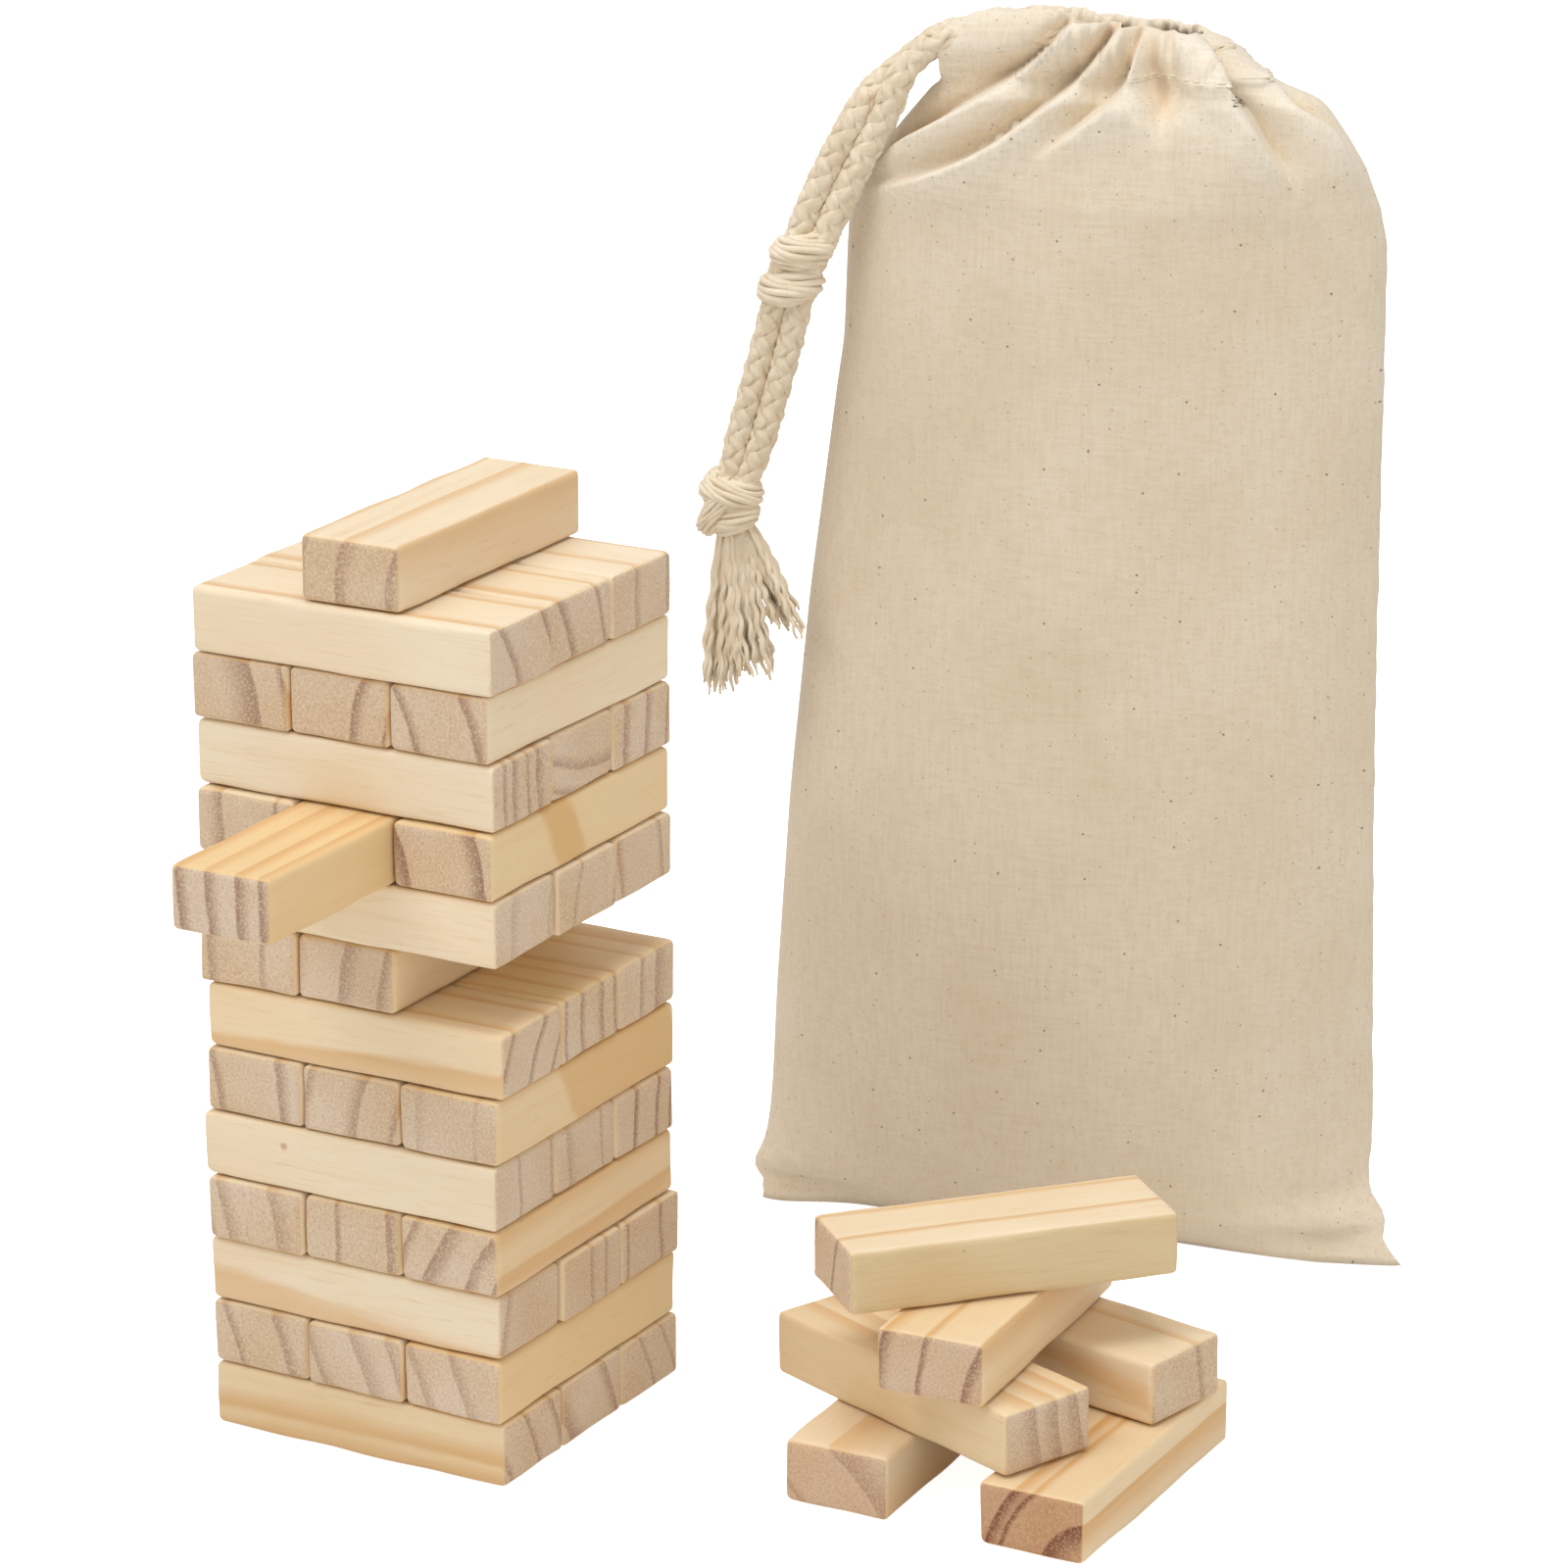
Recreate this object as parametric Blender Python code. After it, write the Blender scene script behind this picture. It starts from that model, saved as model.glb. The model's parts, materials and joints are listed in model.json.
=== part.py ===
"""Stacking block game: a tower of wooden blocks, a heap of loose ones and a drawstring bag.

Metres, +Z up. The origin is the middle of the tower's footprint on the table. The tower's
front face looks along -Y and its right-hand face along +X.
"""
import math
import random

import bmesh
import bpy
from mathutils import Vector

# Wooden block: six hundredths of a metre long, with sides close to 5 : 1.65 : 1
BLOCK_LENGTH = 0.0600
BLOCK_WIDTH = 0.0196
BLOCK_HEIGHT = 0.0116
BLOCK_EDGE_ROUND = 0.0012
BLOCK_EDGE_STEPS = 2
RESTING_GAP = 0.0003
SIDE_GAP = 0.0004
LAYER_PITCH = BLOCK_HEIGHT + RESTING_GAP
SIDE_PITCH = BLOCK_WIDTH + SIDE_GAP

# Tower
LAYER_COUNT = 13
BLOCK_LETTERS = ("a", "b", "c")
MISSING_BLOCK = (8, "c")
PULLED_BLOCK = (10, "b")
PULLED_DISTANCE = 0.037
LAYER_SHIFT = 0.0005
LAYER_YAW = math.radians(0.35)
BLOCK_SHIFT = 0.0004
PLACING_SEED = 11

# Block lying on top of the finished tower
TOP_BLOCK_CENTRE = (0.0018, 0.0005)
TOP_BLOCK_YAW = math.radians(90.7)

# Heap of loose blocks: (level, x, y, yaw in degrees) for each, from the table upwards
LOOSE_BLOCKS = (
    (0, 0.0832, 0.0203, 92.0),
    (0, 0.1211, 0.0204, 91.2),
    (1, 0.0912, 0.0125, -21.1),
    (1, 0.1005, 0.0395, -11.0),
    (2, 0.0994, 0.0215, 94.3),
    (3, 0.0993, 0.0207, 47.5),
)

# Bag frame: u runs along the bag's width, v away from its front, z up
BAG_ORIGIN = Vector((0.0011, 0.1176, 0.0))
BAG_YAW = math.radians(13.66)
BAG_WALL = 0.0016
FOOT_LEFT = -0.0030
FOOT_RIGHT = 0.1215
SHOULDER_LEFT = 0.0145
SHOULDER_RIGHT = 0.1160
SHOULDER_HEIGHT = 0.1950
RIM_LEFT = 0.0335
RIM_RIGHT = 0.0860
RIM_HEIGHT = 0.2240
FOOT_HALF_DEPTH = 0.0060
BELLY_HALF_DEPTH = 0.0225
SHOULDER_HALF_DEPTH = 0.0160
RIM_HALF_DEPTH = 0.0120
BELLY_HEIGHT = 0.0850
BODY_HEIGHTS = (0.0, 0.004, 0.018, 0.045, 0.085, 0.125, 0.165, 0.195)
SHOULDER_STEPS = 5
BAG_RING_POINTS = 28
POUCH_POWER = 1.6
RIM_POWER = 3.2

# Turned-over hem: a hairpin channel round the mouth, open at its two left-hand ends
HEM_HALF_HEIGHT = 0.0050
HEM_HALF_THICKNESS = 0.0042
HEM_WALL = 0.0010
HEM_ARM_OFFSET = 0.0078
HEM_MIDDLE_HEIGHT = RIM_HEIGHT + RESTING_GAP + HEM_HALF_HEIGHT
HEM_RING_POINTS = 16
HEM_BEND_STEPS = 8
HEM_POWER = 3.0

# Drawcord: one plaited cotton cord, both ends leaving the channel at the left
CORD_RADIUS = 0.0027
CORD_RING_POINTS = 10
CORD_LOOP_START = 0.0600
CORD_ENTRY_END = 0.0345
CORD_EXIT = Vector((0.0316, 0.0, HEM_MIDDLE_HEIGHT - 0.0010))
STRAND_HALF_SPACING = 0.0031
STRAND_STEPS = 12
DOME_STEPS = 3

UPPER_KNOT_CENTRE = Vector((0.0066, -0.0105, 0.1850))
UPPER_KNOT_HALF_WIDTH = 0.0072
UPPER_KNOT_HALF_HEIGHT = 0.0078
LOWER_KNOT_CENTRE = Vector((-0.0042, -0.0135, 0.1410))
LOWER_KNOT_HALF_WIDTH = 0.0068
LOWER_KNOT_HALF_HEIGHT = 0.0066
KNOT_SIDES = 14
KNOT_STEPS = 9
KNOT_WAIST = 0.10
KNOT_GAP = 0.0010

TASSEL_LENGTH = 0.0360
TASSEL_TOP_RADIUS = 0.0036
TASSEL_END_RADIUS = 0.0085
TASSEL_FLATNESS = 0.50
TASSEL_TUFTS = 9
TASSEL_TUFT_DEPTH = 0.12
TASSEL_STEPS = 6

# Linear colours
WOOD_COLOURS = ((0.80, 0.67, 0.43), (0.76, 0.60, 0.36), (0.82, 0.70, 0.48))
CLOTH_COLOUR = (0.72, 0.60, 0.43)
CORD_COLOUR = (0.80, 0.74, 0.62)


def clear_objects():
    """Removes whatever the scene already holds."""
    for item in list(bpy.data.objects):
        bpy.data.objects.remove(item, do_unlink=True)


def make_material(name, colour, roughness):
    """A plain, non-metallic finish."""
    material = bpy.data.materials.new(name)
    material.use_nodes = True
    shader = material.node_tree.nodes["Principled BSDF"]
    shader.inputs["Base Color"].default_value = (*colour, 1.0)
    shader.inputs["Roughness"].default_value = roughness
    shader.inputs["Metallic"].default_value = 0.0
    return material


def add_empty(name, location, yaw=0.0, parent=None):
    """An empty that carries a group of pieces."""
    empty = bpy.data.objects.new(name, None)
    empty.location = location
    empty.rotation_euler = (0.0, 0.0, yaw)
    empty.parent = parent
    bpy.context.collection.objects.link(empty)
    return empty


def add_object(name, mesh, material, location, yaw=0.0, parent=None):
    """Places one mesh in the scene with its own finish."""
    piece = bpy.data.objects.new(name, mesh)
    piece.location = location
    piece.rotation_euler = (0.0, 0.0, yaw)
    piece.parent = parent
    bpy.context.collection.objects.link(piece)
    piece.material_slots[0].link = "OBJECT"
    piece.material_slots[0].material = material
    return piece


def new_mesh(name, builder):
    """Turns a finished bmesh into a mesh with one empty material slot."""
    mesh = bpy.data.meshes.new(name)
    builder.to_mesh(mesh)
    builder.free()
    mesh.materials.append(None)
    return mesh


# ---------------------------------------------------------------- blocks


def make_block_mesh():
    """A rectangular block, long in x, with its edges and corners rounded."""
    builder = bmesh.new()
    bmesh.ops.create_cube(builder, size=1.0)
    size = Vector((BLOCK_LENGTH, BLOCK_WIDTH, BLOCK_HEIGHT))
    bmesh.ops.scale(builder, vec=size, verts=builder.verts)
    bmesh.ops.bevel(
        builder,
        geom=builder.edges[:],
        offset=BLOCK_EDGE_ROUND,
        segments=BLOCK_EDGE_STEPS,
        profile=0.5,
        affect="EDGES",
    )
    return new_mesh("block", builder)


def block_height(level):
    """Height of a block's centre above the table, on a level counted from 0."""
    return level * LAYER_PITCH + BLOCK_HEIGHT / 2


def add_block(name, mesh, wood, centre, yaw=0.0, parent=None):
    """One wooden block."""
    material = make_material(name + "_wood", wood, roughness=0.6)
    return add_object(name, mesh, material, centre, yaw, parent)


def add_layer(layer, mesh, chance):
    """Three blocks side by side; every second layer is turned a quarter turn."""
    quarter_turn = 0.0 if layer % 2 else math.pi / 2
    yaw = quarter_turn + chance.uniform(-LAYER_YAW, LAYER_YAW)
    shift = [chance.uniform(-LAYER_SHIFT, LAYER_SHIFT) for _ in range(2)]
    height = block_height(layer - 1)
    holder = add_empty(f"layer_{layer:02d}", (*shift, height), yaw)
    across = -1 if layer % 2 == 0 else 1
    for place, letter in enumerate(BLOCK_LETTERS):
        along = chance.uniform(-BLOCK_SHIFT, BLOCK_SHIFT)
        wood = WOOD_COLOURS[(layer + place) % len(WOOD_COLOURS)]
        if (layer, letter) == MISSING_BLOCK:
            continue
        if (layer, letter) == PULLED_BLOCK:
            along = -PULLED_DISTANCE
        centre = (along, across * (place - 1) * SIDE_PITCH, 0.0)
        name = f"layer_{layer:02d}_block_{letter}"
        add_block(name, mesh, wood, centre, parent=holder)


def add_tower(mesh):
    """All layers and the block that lies on top of them."""
    chance = random.Random(PLACING_SEED)
    for layer in range(1, LAYER_COUNT + 1):
        add_layer(layer, mesh, chance)
    centre = (*TOP_BLOCK_CENTRE, block_height(LAYER_COUNT))
    add_block("top_block", mesh, WOOD_COLOURS[2], centre, TOP_BLOCK_YAW)


def add_loose_blocks(mesh):
    """The heap beside the tower."""
    for number, (level, x, y, degrees) in enumerate(LOOSE_BLOCKS, start=1):
        wood = WOOD_COLOURS[number % len(WOOD_COLOURS)]
        centre = (x, y, block_height(level))
        add_block(f"loose_block_{number}", mesh, wood, centre, math.radians(degrees))


# ---------------------------------------------------------------- lofting


def loft(rings, closed=False):
    """Skins rings that have equal numbers of points. Open lofts get flat end caps."""
    builder = bmesh.new()
    loops = [[builder.verts.new(point) for point in ring] for ring in rings]
    pairs = list(zip(loops, loops[1:]))
    if closed:
        pairs.append((loops[-1], loops[0]))
    else:
        builder.faces.new(loops[0])
        builder.faces.new(loops[-1])
    count = len(loops[0])
    for first, second in pairs:
        for i in range(count):
            j = (i + 1) % count
            builder.faces.new((first[i], first[j], second[j], second[i]))
    bmesh.ops.recalc_face_normals(builder, faces=builder.faces)
    return builder


def mix(start, end, share):
    """Straight interpolation."""
    return start + (end - start) * share


def oval_point(angle, half_width, half_depth, power):
    """A point on a superellipse; power 2 is an ellipse, more is squarer."""
    across = math.copysign(abs(math.cos(angle)) ** (2 / power), math.cos(angle))
    deep = math.copysign(abs(math.sin(angle)) ** (2 / power), math.sin(angle))
    return across * half_width, deep * half_depth


def turn(step, count):
    """Angle of one of count equal steps round a circle."""
    return 2 * math.pi * step / count


# ---------------------------------------------------------------- bag


def bag_edges(height):
    """Left and right edge of the bag's outline at a height."""
    if height <= SHOULDER_HEIGHT:
        share = height / SHOULDER_HEIGHT
        left = mix(FOOT_LEFT, SHOULDER_LEFT, share**1.9)
        right = mix(FOOT_RIGHT, SHOULDER_RIGHT, 1 - (1 - share) ** 2.2)
        return left, right
    share = (height - SHOULDER_HEIGHT) / (RIM_HEIGHT - SHOULDER_HEIGHT)
    left = mix(SHOULDER_LEFT, RIM_LEFT, 1 - (1 - share**1.5) ** (1 / 1.5))
    right = mix(SHOULDER_RIGHT, RIM_RIGHT, 1 - math.sqrt(1 - share**2))
    return left, right


def bag_half_depth(height):
    """Half of the bag's thickness at a height: full at the belly, narrow at both ends."""
    if height <= BELLY_HEIGHT:
        share = math.sin(math.pi / 2 * height / BELLY_HEIGHT)
        return mix(FOOT_HALF_DEPTH, BELLY_HALF_DEPTH, share**0.8)
    if height <= SHOULDER_HEIGHT:
        share = (height - BELLY_HEIGHT) / (SHOULDER_HEIGHT - BELLY_HEIGHT)
        return mix(BELLY_HALF_DEPTH, SHOULDER_HALF_DEPTH, share**2)
    share = (height - SHOULDER_HEIGHT) / (RIM_HEIGHT - SHOULDER_HEIGHT)
    return mix(SHOULDER_HALF_DEPTH, RIM_HALF_DEPTH, share**2)


def bag_ring(height, inset=0.0):
    """One level section of the bag, inset by the wall for its inner surface."""
    left, right = bag_edges(height)
    middle = (left + right) / 2
    half_width = (right - left) / 2 - inset
    half_depth = bag_half_depth(height) - inset
    drawn_in = max(0.0, (height - SHOULDER_HEIGHT) / (RIM_HEIGHT - SHOULDER_HEIGHT))
    power = mix(POUCH_POWER, RIM_POWER, drawn_in)
    level = max(height, inset)
    ring = []
    for step in range(BAG_RING_POINTS):
        angle = turn(step, BAG_RING_POINTS)
        across, deep = oval_point(angle, half_width, half_depth, power)
        ring.append((middle + across, deep, level))
    return ring


def bag_heights():
    """Heights of the bag's sections, closer together where the shoulders turn in."""
    rise = RIM_HEIGHT - SHOULDER_HEIGHT
    steps = range(1, SHOULDER_STEPS + 1)
    arc = [SHOULDER_HEIGHT + rise * math.sin(math.pi / 2 * i / SHOULDER_STEPS) for i in steps]
    return list(BODY_HEIGHTS) + arc


def make_bag_body():
    """The pouch: a thin shell with a flat foot, open at its drawn-in rim."""
    outer = [bag_ring(height) for height in bag_heights()]
    inner = [bag_ring(height, BAG_WALL) for height in bag_heights()]
    del inner[1]
    return loft(outer + inner[::-1])


def hem_path():
    """Centre line of the hem channel, with the sideways direction at each point."""
    bend_centre = RIM_RIGHT - HEM_ARM_OFFSET - HEM_HALF_THICKNESS
    path = [(Vector((RIM_LEFT, -HEM_ARM_OFFSET, 0.0)), Vector((0.0, -1.0, 0.0)))]
    for step in range(HEM_BEND_STEPS + 1):
        angle = math.pi * step / HEM_BEND_STEPS - math.pi / 2
        outward = Vector((math.cos(angle), math.sin(angle), 0.0))
        centre = Vector((bend_centre, 0.0, 0.0)) + outward * HEM_ARM_OFFSET
        path.append((centre, outward))
    path.append((Vector((RIM_LEFT, HEM_ARM_OFFSET, 0.0)), Vector((0.0, 1.0, 0.0))))
    return path


def hem_ring(centre, outward, half_thickness, half_height, power, count):
    """A section across the hem channel."""
    ring = []
    for step in range(count):
        across, up = oval_point(turn(step, count), half_thickness, half_height, power)
        ring.append(centre + outward * across + Vector((0.0, 0.0, HEM_MIDDLE_HEIGHT + up)))
    return ring


def make_hem_channel():
    """A flattened tube bent like a hairpin, hollow for the cord."""
    outer_size = (HEM_HALF_THICKNESS, HEM_HALF_HEIGHT, HEM_POWER, HEM_RING_POINTS)
    inner_size = (
        HEM_HALF_THICKNESS - HEM_WALL,
        HEM_HALF_HEIGHT - HEM_WALL,
        HEM_POWER,
        HEM_RING_POINTS,
    )
    path = hem_path()
    outer = [hem_ring(*place, *outer_size) for place in path]
    inner = [hem_ring(*place, *inner_size) for place in path]
    return loft(outer + inner[::-1], closed=True)


# ---------------------------------------------------------------- drawcord


def make_cord_loop():
    """The stretch of cord that stays inside the hem channel."""
    path = hem_path()
    for end in (path[0][0], path[-1][0]):
        end.x = CORD_LOOP_START
    size = (CORD_RADIUS, CORD_RADIUS, 2.0, CORD_RING_POINTS)
    return loft([hem_ring(*place, *size) for place in path])


def make_cord_entry(side):
    """A straight end of the cord that slides in one arm of the channel."""
    outward = Vector((0.0, side, 0.0))
    size = (CORD_RADIUS, CORD_RADIUS, 2.0, CORD_RING_POINTS)
    rings = []
    for u in (CORD_ENTRY_END, CORD_LOOP_START - RESTING_GAP):
        centre = Vector((u, side * HEM_ARM_OFFSET, 0.0))
        rings.append(hem_ring(centre, outward, *size))
    return loft(rings)


def bezier(ends, handles, share):
    """A point on a cubic curve."""
    rest = 1 - share
    return (
        ends[0] * rest**3
        + handles[0] * 3 * rest**2 * share
        + handles[1] * 3 * rest * share**2
        + ends[1] * share**3
    )


def tube_along(points, radius):
    """A round cord along a line of points, domed at its start and flat at its end."""
    heading = (points[1] - points[0]).normalized()
    across = heading.orthogonal().normalized()
    rings = []
    for step in range(1, DOME_STEPS):
        angle = math.pi / 2 * step / DOME_STEPS
        back = points[0] - heading * radius * math.cos(angle)
        rings.append(round_ring(back, heading, across, radius * math.sin(angle)))
    for place, point in enumerate(points):
        before = points[max(place - 1, 0)]
        after = points[min(place + 1, len(points) - 1)]
        heading = (after - before).normalized()
        across = (across - heading * across.dot(heading)).normalized()
        rings.append(round_ring(point, heading, across, radius))
    return loft(rings)


def round_ring(centre, heading, across, radius):
    """A circle of points square to a heading."""
    other = heading.cross(across)
    ring = []
    for step in range(CORD_RING_POINTS):
        angle = turn(step, CORD_RING_POINTS)
        ring.append(centre + (across * math.cos(angle) + other * math.sin(angle)) * radius)
    return ring


def upper_strand_points(side):
    """One strand from the hem's end to the upper knot; side -1 is the front arm's."""
    knot_top = UPPER_KNOT_CENTRE + Vector((0.001, 0.0, UPPER_KNOT_HALF_HEIGHT + KNOT_GAP))
    ends = (CORD_EXIT, knot_top)
    handles = (CORD_EXIT - Vector((0.013, 0.004, 0.001)), knot_top + Vector((0.004, 0.0, 0.014)))
    start = Vector((0.0, side * HEM_ARM_OFFSET, 0.0))
    end = Vector((-side * STRAND_HALF_SPACING, 0.0, 0.0))
    points = []
    for step in range(STRAND_STEPS + 1):
        share = step / STRAND_STEPS
        spread = mix(start, end, min(1.0, share * 1.6))
        if spread.length < STRAND_HALF_SPACING:
            spread = spread.normalized() * STRAND_HALF_SPACING
        points.append(bezier(ends, handles, share) + spread)
    return points


def lower_strand_points(side):
    """One strand between the two knots."""
    top = tail_pivot() + Vector((side * STRAND_HALF_SPACING, 0.0, 0.0))
    bottom = LOWER_KNOT_CENTRE + Vector((side * STRAND_HALF_SPACING, 0.0, 0.0))
    bottom.z += LOWER_KNOT_HALF_HEIGHT + KNOT_GAP
    bulge = Vector((-0.002, 0.0, 0.0))
    handles = (mix(top, bottom, 1 / 3) + bulge, mix(top, bottom, 2 / 3) + bulge)
    return [bezier((top, bottom), handles, i / STRAND_STEPS) for i in range(STRAND_STEPS + 1)]


def tail_pivot():
    """Centre of the lower strands' domed ends, just under the upper knot."""
    drop = UPPER_KNOT_HALF_HEIGHT + KNOT_GAP + CORD_RADIUS
    return UPPER_KNOT_CENTRE - Vector((0.001, 0.0, drop))


def make_knot(centre, half_width, half_height):
    """A rounded knot with a slight waist between its two wraps."""
    rings = []
    for step in range(KNOT_STEPS + 1):
        share = math.cos(math.pi * (0.08 + 0.84 * step / KNOT_STEPS))
        level = share / math.cos(math.pi * 0.08)
        waist = 1 - KNOT_WAIST * math.exp(-((level / 0.3) ** 2))
        radius = half_width * math.sqrt(1 - share**2) * waist
        rings.append(level_ring(centre, radius, radius, level * half_height, KNOT_SIDES))
    return loft(rings)


def level_ring(centre, half_width, half_depth, rise, count, ripple=0.0):
    """A level oval, rippled round its edge for a bundle of tufts."""
    ring = []
    for step in range(count):
        angle = turn(step, count)
        swell = 1 + ripple * (-1) ** step
        across = half_width * swell * math.cos(angle)
        deep = half_depth * swell * math.sin(angle)
        ring.append(centre + Vector((across, deep, rise)))
    return ring


def make_tassel():
    """The frayed cord ends: a flattened, fluted cone under the lower knot."""
    top = LOWER_KNOT_CENTRE - Vector((0.0, 0.0, LOWER_KNOT_HALF_HEIGHT + KNOT_GAP))
    rings = []
    for step in range(TASSEL_STEPS + 1):
        share = step / TASSEL_STEPS
        radius = mix(TASSEL_TOP_RADIUS, TASSEL_END_RADIUS, math.sin(math.pi / 2 * share))
        depth = radius * mix(1.0, TASSEL_FLATNESS, share)
        centre = top + Vector((0.004 * share**2, 0.0, 0.0))
        ripple = TASSEL_TUFT_DEPTH * share
        fall = -TASSEL_LENGTH * share
        rings.append(level_ring(centre, radius, depth, fall, 2 * TASSEL_TUFTS, ripple))
    return loft(rings)


# ---------------------------------------------------------------- assembly


def add_soft(name, builder, material, pivot):
    """A cloth or cord piece whose points are in the bag's frame, on its pivot empty."""
    offset = pivot.location if pivot.parent else Vector((0.0, 0.0, 0.0))
    bmesh.ops.translate(builder, vec=-offset, verts=builder.verts)
    mesh = new_mesh(name, builder)
    mesh.shade_smooth()
    mesh.set_sharp_from_angle(angle=math.radians(40))
    return add_object(name, mesh, material, (0.0, 0.0, 0.0), parent=pivot)


def add_bag():
    """Pouch, hem, and the cord inside it."""
    frame = add_empty("bag_frame", BAG_ORIGIN, BAG_YAW)
    cloth = make_material("bag_cloth", CLOTH_COLOUR, roughness=0.9)
    hem_cloth = make_material("hem_cloth", CLOTH_COLOUR, roughness=0.9)
    cord = make_material("loop_cord", CORD_COLOUR, roughness=0.85)
    add_soft("bag_body", make_bag_body(), cloth, frame)
    add_soft("bag_hem_channel", make_hem_channel(), hem_cloth, frame)
    add_soft("drawcord_loop", make_cord_loop(), cord, frame)
    add_drawcord(frame)


def add_drawcord(frame):
    """The cord's two ends outside the bag, with their knots and tassel."""
    entry = make_material("entry_cord", CORD_COLOUR, roughness=0.85)
    hanging = make_material("hanging_cord", CORD_COLOUR, roughness=0.85)
    tail = make_material("tail_cord", CORD_COLOUR, roughness=0.85)
    exit_pivot = add_empty("cord_exit_pivot", CORD_EXIT, parent=frame)
    tail_empty = add_empty("cord_tail_pivot", tail_pivot(), parent=frame)
    for label, side in (("front", -1), ("back", 1)):
        add_soft(f"cord_entry_{label}", make_cord_entry(side), entry, frame)
        upper = tube_along(upper_strand_points(side), CORD_RADIUS)
        add_soft(f"cord_upper_strand_{label}", upper, hanging, exit_pivot)
    for label, side in (("left", -1), ("right", 1)):
        lower = tube_along(lower_strand_points(side), CORD_RADIUS)
        add_soft(f"cord_lower_strand_{label}", lower, tail, tail_empty)
    upper_knot = make_knot(UPPER_KNOT_CENTRE, UPPER_KNOT_HALF_WIDTH, UPPER_KNOT_HALF_HEIGHT)
    lower_knot = make_knot(LOWER_KNOT_CENTRE, LOWER_KNOT_HALF_WIDTH, LOWER_KNOT_HALF_HEIGHT)
    add_soft("cord_upper_knot", upper_knot, hanging, exit_pivot)
    add_soft("cord_lower_knot", lower_knot, tail, tail_empty)
    add_soft("cord_tassel", make_tassel(), tail, tail_empty)


def main():
    """Builds the whole set."""
    clear_objects()
    block_mesh = make_block_mesh()
    add_tower(block_mesh)
    add_loose_blocks(block_mesh)
    add_bag()
    bpy.context.view_layer.update()


main()
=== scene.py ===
"""The looks of the stacking block game: pine blocks, a cotton bag and its plaited cord."""
import json
import math
import random

import bmesh
import bpy
import numpy as np
from mathutils import Matrix, Vector, noise


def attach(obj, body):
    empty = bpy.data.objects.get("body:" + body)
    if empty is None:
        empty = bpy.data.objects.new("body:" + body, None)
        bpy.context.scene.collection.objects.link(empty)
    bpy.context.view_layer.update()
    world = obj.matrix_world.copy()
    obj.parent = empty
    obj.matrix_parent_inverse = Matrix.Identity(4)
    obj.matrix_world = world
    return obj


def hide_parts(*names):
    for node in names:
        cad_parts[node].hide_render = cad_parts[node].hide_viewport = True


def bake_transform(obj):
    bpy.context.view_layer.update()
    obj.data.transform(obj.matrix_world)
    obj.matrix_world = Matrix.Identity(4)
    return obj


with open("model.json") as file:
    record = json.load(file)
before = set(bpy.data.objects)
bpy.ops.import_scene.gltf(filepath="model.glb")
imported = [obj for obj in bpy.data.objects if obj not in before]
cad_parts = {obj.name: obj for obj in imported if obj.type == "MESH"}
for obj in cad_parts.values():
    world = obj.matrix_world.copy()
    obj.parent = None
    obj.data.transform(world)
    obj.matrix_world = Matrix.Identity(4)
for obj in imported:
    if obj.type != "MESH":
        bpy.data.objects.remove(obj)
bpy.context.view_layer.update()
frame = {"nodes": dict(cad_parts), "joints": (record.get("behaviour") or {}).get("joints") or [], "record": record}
RECORD = frame["record"]
JOINTS = {joint["name"]: joint for joint in frame["joints"]}
BODY_OF = {
    node: body for body, nodes in RECORD["behaviour"]["bodies"].items() for node in nodes
}
MM = 0.001


# ---------------------------------------------------------------- node building


class Wire:
    """A shader value. Arithmetic on it adds the matching nodes to its tree."""

    def __init__(self, node, output=0):
        self.tree = node.id_data
        self.socket = node.outputs[output]

    def __add__(self, other):
        return calc("ADD", self, other)

    def __sub__(self, other):
        return calc("SUBTRACT", self, other)

    def __mul__(self, other):
        return calc("MULTIPLY", self, other)

    def __truediv__(self, other):
        return calc("DIVIDE", self, other)

    def __pow__(self, other):
        return calc("POWER", self, other)

    def __abs__(self):
        return calc("ABSOLUTE", self)


def srgb(red, green, blue):
    """A linear colour from 0 to 255 display values."""
    linear = []
    for value in (red, green, blue):
        share = value / 255
        linear.append(share / 12.92 if share <= 0.04045 else ((share + 0.055) / 1.055) ** 2.4)
    return (*linear, 1.0)


def set_inputs(node, inputs):
    """Sets a node's inputs to values, or joins them to wires."""
    for key, value in inputs.items():
        if isinstance(value, Wire):
            value.tree.links.new(value.socket, node.inputs[key])
        else:
            node.inputs[key].default_value = value


def add_node(tree, kind, inputs=None, **settings):
    """A shader node with its inputs and settings."""
    node = tree.nodes.new("ShaderNode" + kind)
    for key, value in settings.items():
        setattr(node, key, value)
    set_inputs(node, inputs or {})
    return node


def calc(operation, *values):
    """The result of one arithmetic step."""
    tree = next(value.tree for value in values if isinstance(value, Wire))
    return Wire(add_node(tree, "Math", dict(enumerate(values)), operation=operation))


def mix_colour(share, first, second, blend="MIX"):
    """One colour laid over another."""
    settings = {"data_type": "RGBA", "blend_type": blend, "clamp_factor": True}
    return Wire(add_node(share.tree, "Mix", {0: share, 6: first, 7: second}, **settings), 2)


def layered(colour, layers):
    """A colour with others laid over it in turn; each is (share, colour)."""
    for share, over in layers:
        colour = mix_colour(share, colour, over)
    return colour


def remap(value, low, high, new_low=0.0, new_high=1.0, smooth=False):
    """Maps a value's range onto another, held at both ends."""
    inputs = {0: value, 1: low, 2: high, 3: new_low, 4: new_high}
    kind = "SMOOTHSTEP" if smooth else "LINEAR"
    return Wire(add_node(value.tree, "MapRange", inputs, interpolation_type=kind))


def noise_value(place, scale, detail=2.0, roughness=0.5):
    """Soft noise between 0 and 1."""
    inputs = {"Vector": place, "Scale": scale, "Detail": detail, "Roughness": roughness}
    return Wire(add_node(place.tree, "TexNoise", inputs))


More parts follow.
